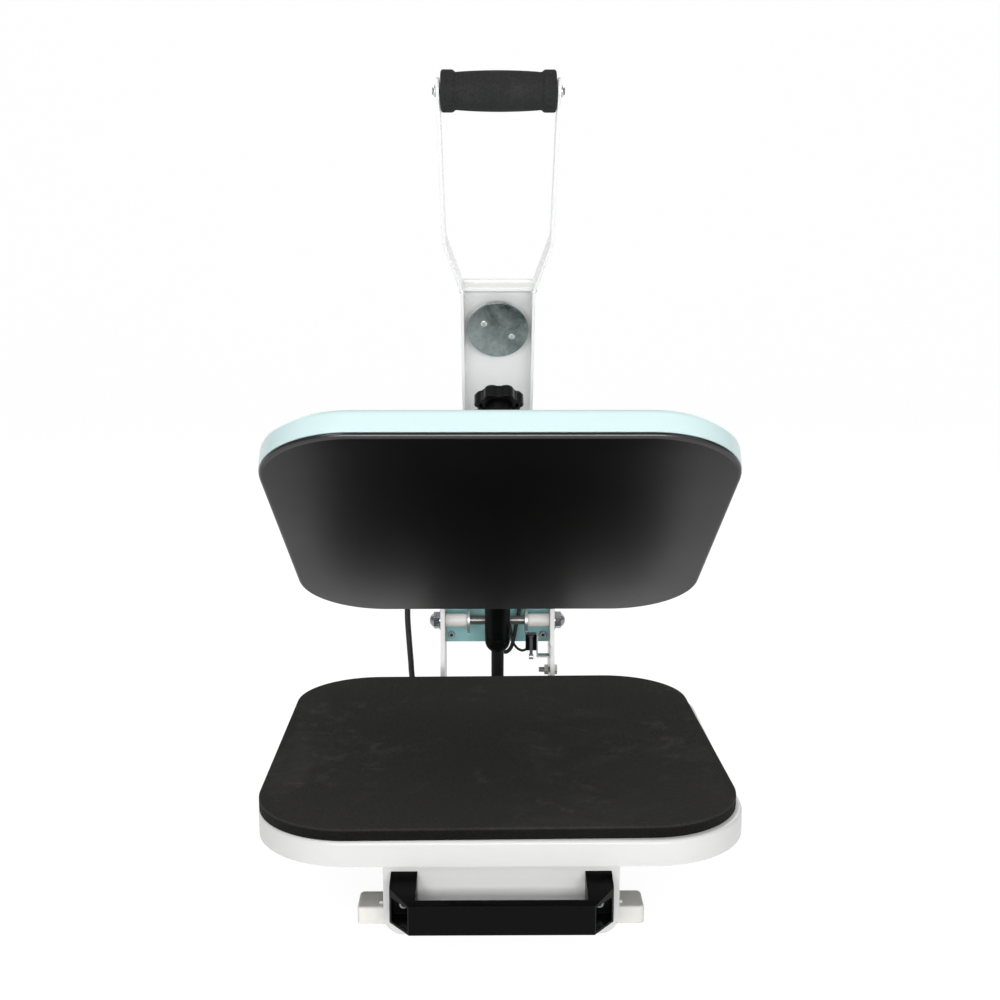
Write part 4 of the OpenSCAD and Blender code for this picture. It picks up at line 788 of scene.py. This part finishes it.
def soft_pad():
    """The sponge pad: round corners, rounded rims, and a faint dish where garments are pressed."""
    middle = (PAD_LOW + PAD_HIGH) / 2
    bpy.ops.mesh.primitive_plane_add(size=PAD_SIDE * MM)
    pad = bpy.context.active_object
    pad.name = "soft_pad"
    bpy.ops.object.mode_set(mode="EDIT")
    bpy.ops.mesh.select_mode(type="VERT")
    bpy.ops.mesh.select_all(action="SELECT")
    bpy.ops.mesh.bevel(offset=PAD_CORNER * MM, segments=20, affect="VERTICES")
    bpy.ops.mesh.extrude_region_move(TRANSFORM_OT_translate={"value": (0, 0, PAD_THICK * MM)})
    bpy.ops.mesh.inset(thickness=0.0008)
    bpy.ops.mesh.inset(thickness=0.03)
    bpy.ops.mesh.inset(thickness=0.03, depth=-0.00025)
    bpy.ops.mesh.select_all(action="SELECT")
    bpy.ops.mesh.normals_make_consistent(inside=False)
    bpy.ops.object.mode_set(mode="OBJECT")
    pad.matrix_world = (Matrix.Translation((middle.x, middle.y, PAD_LOW.z))
                        @ Matrix.Rotation(math.radians(PAD_TURN), 4, "Z"))
    choose(pad)
    bpy.ops.object.transform_apply()
    hand_in(pad, "pad_rubber", "drawer", ["pad"], edge=1.3, steps=4)


def foam_grip_sleeve():
    """The foam sleeve: two rolled ends and a full barrel between them."""
    end = BAR_GAP / 2 - BAR_WALL - 1.0
    barrel = [(16.6 + 1.5 * math.cos(math.radians(90 * x / 38)) ** 0.8, x) for x in (
        -38, -35, -31, -26, -20, -13, -6, 0, 6, 13, 20, 26, 31, 35, 38)]
    flange = [(16.2, -end), (17.4, -end + 0.25), (18.3, -end + 0.9), (18.72, -end + 2.0), (18.75, -end + 3.2),
              (18.75, -end + 9.4), (18.6, -end + 10.6), (18.1, -end + 11.7), (17.2, -end + 12.6), (16.7, -end + 13.2)]
    other = [(r, -x) for r, x in reversed(flange)]
    sleeve = lathe("foam_sleeve", [(10.2, -end)] + flange + barrel + other + [(10.2, end), (10.2, -end)], 64)
    set_down(sleeve, ON_HANDLE, GRIP_AT, "+X")
    hand_in(sleeve, "grip_foam", "handle", ["foam_grip"])


# ---- Welds ----

def weld(name, frame_of, start, end, size=3.0):
    """A weld bead between two places in a frame: a row of small ripples."""
    start, end = Vector(start), Vector(end)
    count = max(4, int((end - start).length / 1.1))
    line = [frame_of @ ((start + (end - start) * i / count) * MM) for i in range(count + 1)]
    swell = [0.82 + 0.18 * (i % 2) + 0.05 * math.sin(i * 2.4) for i in range(count + 1)]
    swell[0] = swell[-1] = 0.6
    return wire(name, line, size * MM, 3, swell)


def welds():
    """Painted weld beads where sheets meet."""
    arm = [weld(f"arm_weld_{k}_{i}", ON_ARM, (x * 26.4, y0, z), (x * 26.4, y1, z), 2.6)
           for i, (y0, y1, z) in enumerate(((-31, 11, 193.8), (37, 117, 218.4), (151, 183, 167.8)))
           for k, x in enumerate(SIDES)]
    handle = [weld(f"bar_weld_{k}", ON_HANDLE, (x * 38.0, 24.0, 244), (x * 38.0, 24.0, 266), 2.4)
              for k, x in enumerate(SIDES)]
    cross = [weld("cross_weld", ON_HANDLE, (-33, 30.2, 270.7), (33, 30.2, 270.7), 2.2)]
    base = [weld(f"foot_weld_{k}", PLAIN, (x * 63.8, 268, 21.0), (x * 63.8, 345, 21.0), 2.6)
            for k, x in enumerate(SIDES)]
    posts = [weld(f"post_weld_{k}_{i}", PLAIN, (x * 50 - 6.5, y * 120 - 4, 85.8),
                  (x * 50 + 6.5, y * 120 - 4, 85.8), 2.0)
             for k, x in enumerate(SIDES) for i, y in enumerate(SIDES)]
    for beads, body in ((arm, "arm"), (handle + cross, "handle"), (base, "base"), (posts, "drawer")):
        for bead in beads:
            # The handle's welds take the lighter copy of the white paint, which is painted light.
            paint(bead, "white_paint", FINISHES["handle_white"] if body == "handle" else None)
            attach(bead, body)


# ---- Number display and switch marks ----

def bar_mark(name, length, width, rise=0.12):
    """A small bar with pointed ends, lying along X."""
    bpy.ops.mesh.primitive_circle_add(vertices=6, radius=length / 2 * MM, fill_type="NGON")
    bar = bpy.context.active_object
    bar.name = name
    bpy.ops.object.mode_set(mode="EDIT")
    bpy.ops.mesh.select_all(action="SELECT")
    bpy.ops.transform.resize(value=(1, width / length * 1.155, 1), center_override=(0, 0, 0))
    bpy.ops.mesh.extrude_region_move(TRANSFORM_OT_translate={"value": (0, 0, rise * MM)})
    bpy.ops.object.mode_set(mode="OBJECT")
    return bar


LIT = {"0": "abcdef", "1": "bc", "5": "acdfg", "6": "acdefg"}
SEGMENTS = {"a": (0, 5.2, 0), "b": (2.6, 2.6, 90), "c": (2.6, -2.6, 90), "d": (0, -5.2, 0),
            "e": (-2.6, -2.6, 90), "f": (-2.6, 2.6, 90), "g": (0, 0, 0)}


def number_display():
    """Lit numbers: the temperature on the left and the seconds on the right."""
    bars = []
    for column, sign in enumerate("160" + "015"):
        x0 = -63 + column * 8.6 + (4.6 if column > 2 else 0)
        for key in LIT[sign]:
            x, y, turn = SEGMENTS[key]
            bar = bar_mark("digit", 4.6, 1.2)
            bar.matrix_world = (ON_SLOPE @ Matrix.Translation(Vector((x0 + x, y, 1.41)) * MM)
                                @ Matrix.Rotation(math.radians(turn), 4, "Z"))
            choose(bar)
            bpy.ops.object.transform_apply()
            bars.append(bar)
    glow = Finish("lit_numbers", (0.9, 0.05, 0.03), 0.4)
    glow.put("Emission Color", glow.mix(glow.noise(300, 1), (1.0, 0.05, 0.03, 1), (1.0, 0.10, 0.05, 1)))
    glow.put("Emission Strength", 1.6)
    hand_in(together("number_display", bars), "window_red", "base", finish=glow)


def switch_marks():
    """A line and a ring on the paddle of the power switch."""
    on_paddle = PLAIN @ Matrix.Translation(Vector(PADDLE_AT) * MM) @ Matrix.Rotation(
        math.radians(PADDLE_TURN), 4, "Z")
    line = bar_mark("switch_line", 4.4, 0.9, 0.3)
    ring = lathe("switch_ring", [(1.6, 0), (2.2, 0), (2.2, 0.3), (1.6, 0.3), (1.6, 0)], 32)
    for piece, y in ((line, -6), (ring, 6)):
        lean = Matrix.Rotation(math.radians(7.8 if y > 0 else -7.8), 4, "Z")
        piece.matrix_world = on_paddle @ Matrix.Translation(Vector((1.3, y, 0)) * MM) @ lean @ AXES["+X"]
        choose(piece)
        bpy.ops.object.transform_apply()
    hand_in(together("switch_marks", [line, ring]), "white_nylon", "power_rocker")


# ---- Heated plate ----

def round_block(name, side, corner, low, high, edge, steps):
    """A square block with round corners and a full radius round its lower rim. Sizes in millimetres."""
    bpy.ops.mesh.primitive_plane_add(size=side * MM)
    block = bpy.context.active_object
    block.name = name
    bpy.ops.object.mode_set(mode="EDIT")
    bpy.ops.mesh.select_mode(type="VERT")
    bpy.ops.mesh.select_all(action="SELECT")
    bpy.ops.mesh.bevel(offset=corner * MM, segments=28, affect="VERTICES")
    bpy.ops.transform.translate(value=(0, 0, low * MM))
    bpy.ops.mesh.extrude_region_move(TRANSFORM_OT_translate={"value": (0, 0, (high - low) * MM)})
    bpy.ops.mesh.select_all(action="SELECT")
    bpy.ops.mesh.normals_make_consistent(inside=False)
    bpy.ops.object.mode_set(mode="OBJECT")
    pick(block, lambda middle, way: way.z < -0.9)
    bpy.ops.mesh.bevel(offset=edge * MM, segments=steps, affect="EDGES")
    bpy.ops.object.mode_set(mode="OBJECT")
    mark(block, "fillet", lambda middle, way: -0.995 < way.z < -0.05 and (
        min(1, max(0, -2 * way.y / math.hypot(way.x, way.y) - 0.6))))
    return block


def heated_plate():
    """The heated plate: a rounded face slab, and a step that rises inside the cover."""
    face = PAD_TOP / MM + 0.35
    slab = round_block("heated_plate", HEATED_SIDE, HEATED_CORNER, face, face + 4.2, HEATED_FILLET, 8)
    step = round_block("heated_step", HEATED_SIDE - 2 * STEP_IN, HEATED_CORNER - STEP_IN, face + 1, face + 12, 0.5, 2)
    plate = set_down(together("heated_plate", [slab, step]), ON_ARM, (0, 0, 0))
    hand_in(plate, "platen_black", BODY_OF["heat_platen"], ["heat_platen"], edge=0.25)


# ---- Turned pieces ----

def studs():
    """Bright riveted heads of the armature's studs."""
    head = lathe("stud_heads", [(0.5, 0), (3.2, 0), (3.1, 0.25), (2.6, 0.5), (1.6, 0.66), (0.5, 0.7)], 28)
    rivets = scatter("stud_heads", head, [
        (ON_HANDLE, (x * 14.2, DISC_AT[1] + x * 7.4, DISC_AT[2] - 0.1), "-Z") for x in SIDES])
    hand_in(rivets, "bright_steel", "handle", finish=FINISHES["stud"])


def switch_roller():
    """The small switch's roller, turned steel with a waist."""
    half = [(2.8, 0), (3.0, 0.4), (3.0, 1.5), (2.85, 1.8), (2.85, 2.4)]
    roller = lathe("switch_roller", [(1.0, -2.4)] + [(r, -2.4 + x) for r, x in half]
                   + [(r, 2.4 - x) for r, x in reversed(half)] + [(1.0, 2.4), (1.0, -2.4)], 32)
    set_down(roller, PLAIN, ROLLER_AT, "+X")
    hand_in(roller, "bright_steel", "switch_lever")


def threaded_spindle():
    """The pressure spindle with its coarse thread."""
    low, high, pitch = SPINDLE_LOW, SPINDLE_HIGH, SPINDLE_PITCH
    turns = int((high - low - 8) / pitch)
    thread = [(r, low + 4 + pitch * (i + part)) for i in range(turns) for r, part in (
        (7.95, 0.1), (7.95, 0.4), (7.1, 0.6), (7.1, 0.9))]
    spindle = lathe("threaded_spindle", [(6.8, low), (7.8, low + 1)] + thread + [
        (7.1, high - 3), (7.1, high - 0.8), (6.3, high)], 40)
    set_down(spindle, ON_ARM, (0, 0, 0))
    hand_in(spindle, SLOT_OF["spindle"], "pressure_screw", ["spindle"])


# ---- Knob ----

def star_knob():
    """The knob: the dressed CAD knob, with a dished top."""
    knob = dress("knob", 0.7 * MM, 3)
    up = (ON_ARM.to_3x3() @ Vector((0, 0, 1))).normalized()
    near_top = ON_ARM @ Vector((0, 0, PAD_TOP + (KNOB_TOP - 1) * MM))
    recess(knob, lambda at, way: way.dot(up) > 0.99 and (at - near_top).dot(up) > 0, 3.4, 1.2)
    return knob


EDGES = {
    "base_tray": 0.5, "rubber_feet": 0.4, "left_upright": 0.6, "right_upright": 0.6, "hinge_shaft": 0.6,
    "link_axle": 0.6, "acorn_nuts": 0.4, "nylon_spacers": 0.6, "rear_plate": 0.4,
    "control_box": 0.7, "control_back": 0.3, "control_panel": 0.4, "rocker_housing": 0.3, "rocker": 0.4,
    "button_timer": 0.5, "button_heat": 0.5, "button_up": 0.5, "button_down": 0.5, "cord_gland": 0.6,
    "mains_plug": 0.5, "spring_bracket": 0.5, "limit_switch": 0.4, "limit_bracket": 0.25,
    "limit_lever": 0.2, "fixed_rails": 0.2, "mid_rails": 0.2, "drawer_rails": 0.2, "drawer_frame": 0.4,
    "lower_plate": 0.4, "front_panel": 0.7, "pull_handle": 0.8, "lift_arm": 0.7,
    "arm_pins": 0.5, "electromagnet": 0.6, "pressure_nut": 0.4, "platen_cover": 0.3,
    "platen_hanger": 0.6, "handle_channel": 0.6, "handle_bars": 0.6,
    "grip_core": 0.3, "armature_disc": 0.4, "link_pins": 0.4, "link_plates": 0.5,
    "gas_cylinder": 0.4, "gas_rod": 0.4}
dressed = {node: dress(node, edge * MM) for node, edge in EDGES.items()}
dressed["knob"] = star_knob()
plug_way = (COIL[-1] - COIL[-2]).normalized()
mark(dressed["mains_plug"], "blade", lambda middle, way: (middle - COIL[-1]).dot(plug_way) > 0.0408)
disc_way = ON_HANDLE.to_3x3() @ Vector((0, 0, 1))
# Marks the disc's rim faces, which its finish paints bright as a painted highlight.
mark(dressed["armature_disc"], "rim", lambda middle, way: abs(way.dot(disc_way)) < 0.5)
# Some pieces take lit or shaded copies of the paints: painted light on the handle, painted shade on the lower plate,
# the front panel and the rear plate.
OWN_FINISH = {
    "armature_disc": "disc", "gas_rod": "rod", "limit_lever": "lever", "handle_channel": "handle_white",
    "handle_bars": "handle_white", "lower_plate": "plate_white", "front_panel": "plate_white",
    "rear_plate": "rear_mint", "acorn_nuts": "nut", "knob": "knob", "mains_plug": "plug"}
for node, finish in OWN_FINISH.items():
    dressed[node].data.materials.clear()
    dressed[node].data.materials.append(FINISHES[finish].material)
frame_screws()
pull_and_grip_screws()
heated_plate()
soft_pad()
foam_grip_sleeve()
welds()
number_display()
switch_marks()
studs()
switch_roller()
threaded_spindle()
DONE = set(EDGES) | {"spindle", "mains_cord", "cord_coil", "knob", "frame_screws", "pull_screws", "grip_screws", "pad",
                     "foam_grip", "heat_platen"}
for plain in sorted(set(NODES) - DONE):
    paint(NODES[plain], SLOT_OF[plain])


# ---- Length of the lead ----

LEAD_LENGTH = sum((b - a).length for a, b in zip(LEAD_LINE, LEAD_LINE[1:]))


# ---- Floor, light and background ----

def set_stage():
    """A pale floor that rolls up into a backdrop, and soft studio lamps."""
    bpy.ops.mesh.primitive_plane_add(size=14, location=(0, 0, 0))
    floor = bpy.context.active_object
    floor.name = "floor"
    bpy.ops.object.mode_set(mode="EDIT")
    bpy.ops.mesh.select_mode(type="EDGE")
    bpy.ops.mesh.select_all(action="DESELECT")
    bpy.ops.object.mode_set(mode="OBJECT")
    for edge in floor.data.edges:
        edge.select = all(floor.data.vertices[v].co.y > 6 for v in edge.vertices)
    bpy.ops.object.mode_set(mode="EDIT")
    bpy.ops.mesh.extrude_region_move(TRANSFORM_OT_translate={"value": (0, 0, 7)})
    bpy.ops.mesh.select_all(action="SELECT")
    bpy.ops.mesh.bevel(offset=3, segments=24, affect="EDGES")
    bpy.ops.object.mode_set(mode="OBJECT")
    bpy.ops.object.shade_smooth()
    ground = Finish("pale_floor", (0.86, 0.86, 0.86), 0.75, specular=0.2)
    rays = {kind: ground.node("ShaderNodeLightPath", {}, {}, kind) for kind in (
        "Is Camera Ray", "Is Glossy Ray", "Is Transmission Ray")}
    glow = ground.node("ShaderNodeEmission", {}, {"Color": (1, 1, 1, 1), "Strength": 1.12})
    seen = rays["Is Camera Ray"] + rays["Is Glossy Ray"] + rays["Is Transmission Ray"]
    shader = Value(ground, ground.shader.outputs[0])
    out = ground.tree.nodes["Material Output"]
    mixed = ground.node("ShaderNodeMixShader", {}, {0: seen * 0.84, 1: shader, 2: glow})
    ground.tree.links.new(mixed.socket, out.inputs["Surface"])
    floor.data.materials.append(ground.material)

    world = bpy.data.worlds.new("studio")
    bpy.context.scene.world = world
    world.use_nodes = True
    nodes, links = world.node_tree.nodes, world.node_tree.links
    path = nodes.new("ShaderNodeLightPath")
    seen = nodes.new("ShaderNodeMath")
    seen.operation, seen.use_clamp = "MAXIMUM", True
    links.new(path.outputs["Is Camera Ray"], seen.inputs[0])
    links.new(path.outputs["Is Transmission Ray"], seen.inputs[1])
    strength = nodes.new("ShaderNodeMapRange")
    strength.inputs["To Min"].default_value = 0.36
    strength.inputs["To Max"].default_value = 1.0
    links.new(seen.outputs[0], strength.inputs["Value"])
    back = nodes["Background"]
    back.inputs["Color"].default_value = (1, 1, 1, 1)
    links.new(strength.outputs[0], back.inputs["Strength"])

    lamps = {
        "key": ((-1.1, -1.7, 1.9), (0.7, 0.7), 8),
        "front": ((0.05, -2.3, 0.6), (2.0, 0.5), 37),
        "fill": ((1.5, -1.3, 1.2), (1.4, 1.4), 4),
        "top": ((0.1, 0.1, 2.3), (1.6, 1.6), 5.5),
        "rear_left": ((-1.4, 1.6, 1.5), (1.2, 1.2), 11),
        "rear_right": ((1.4, 1.7, 1.3), (1.2, 1.2), 11)}
    aim = Vector((0, 0, 0.3))
    for name, (place, size, power) in lamps.items():
        light = bpy.data.lights.new(name, "AREA")
        light.shape, light.energy = "RECTANGLE", power
        light.size, light.size_y = size
        lamp = bpy.data.objects.new(name, light)
        bpy.context.scene.collection.objects.link(lamp)
        towards = (aim - Vector(place)).to_track_quat("-Z", "Y")
        lamp.matrix_world = Matrix.Translation(place) @ towards.to_matrix().to_4x4()


set_stage()
bpy.context.scene.view_settings.view_transform = "Standard"

bpy.context.view_layer.update()
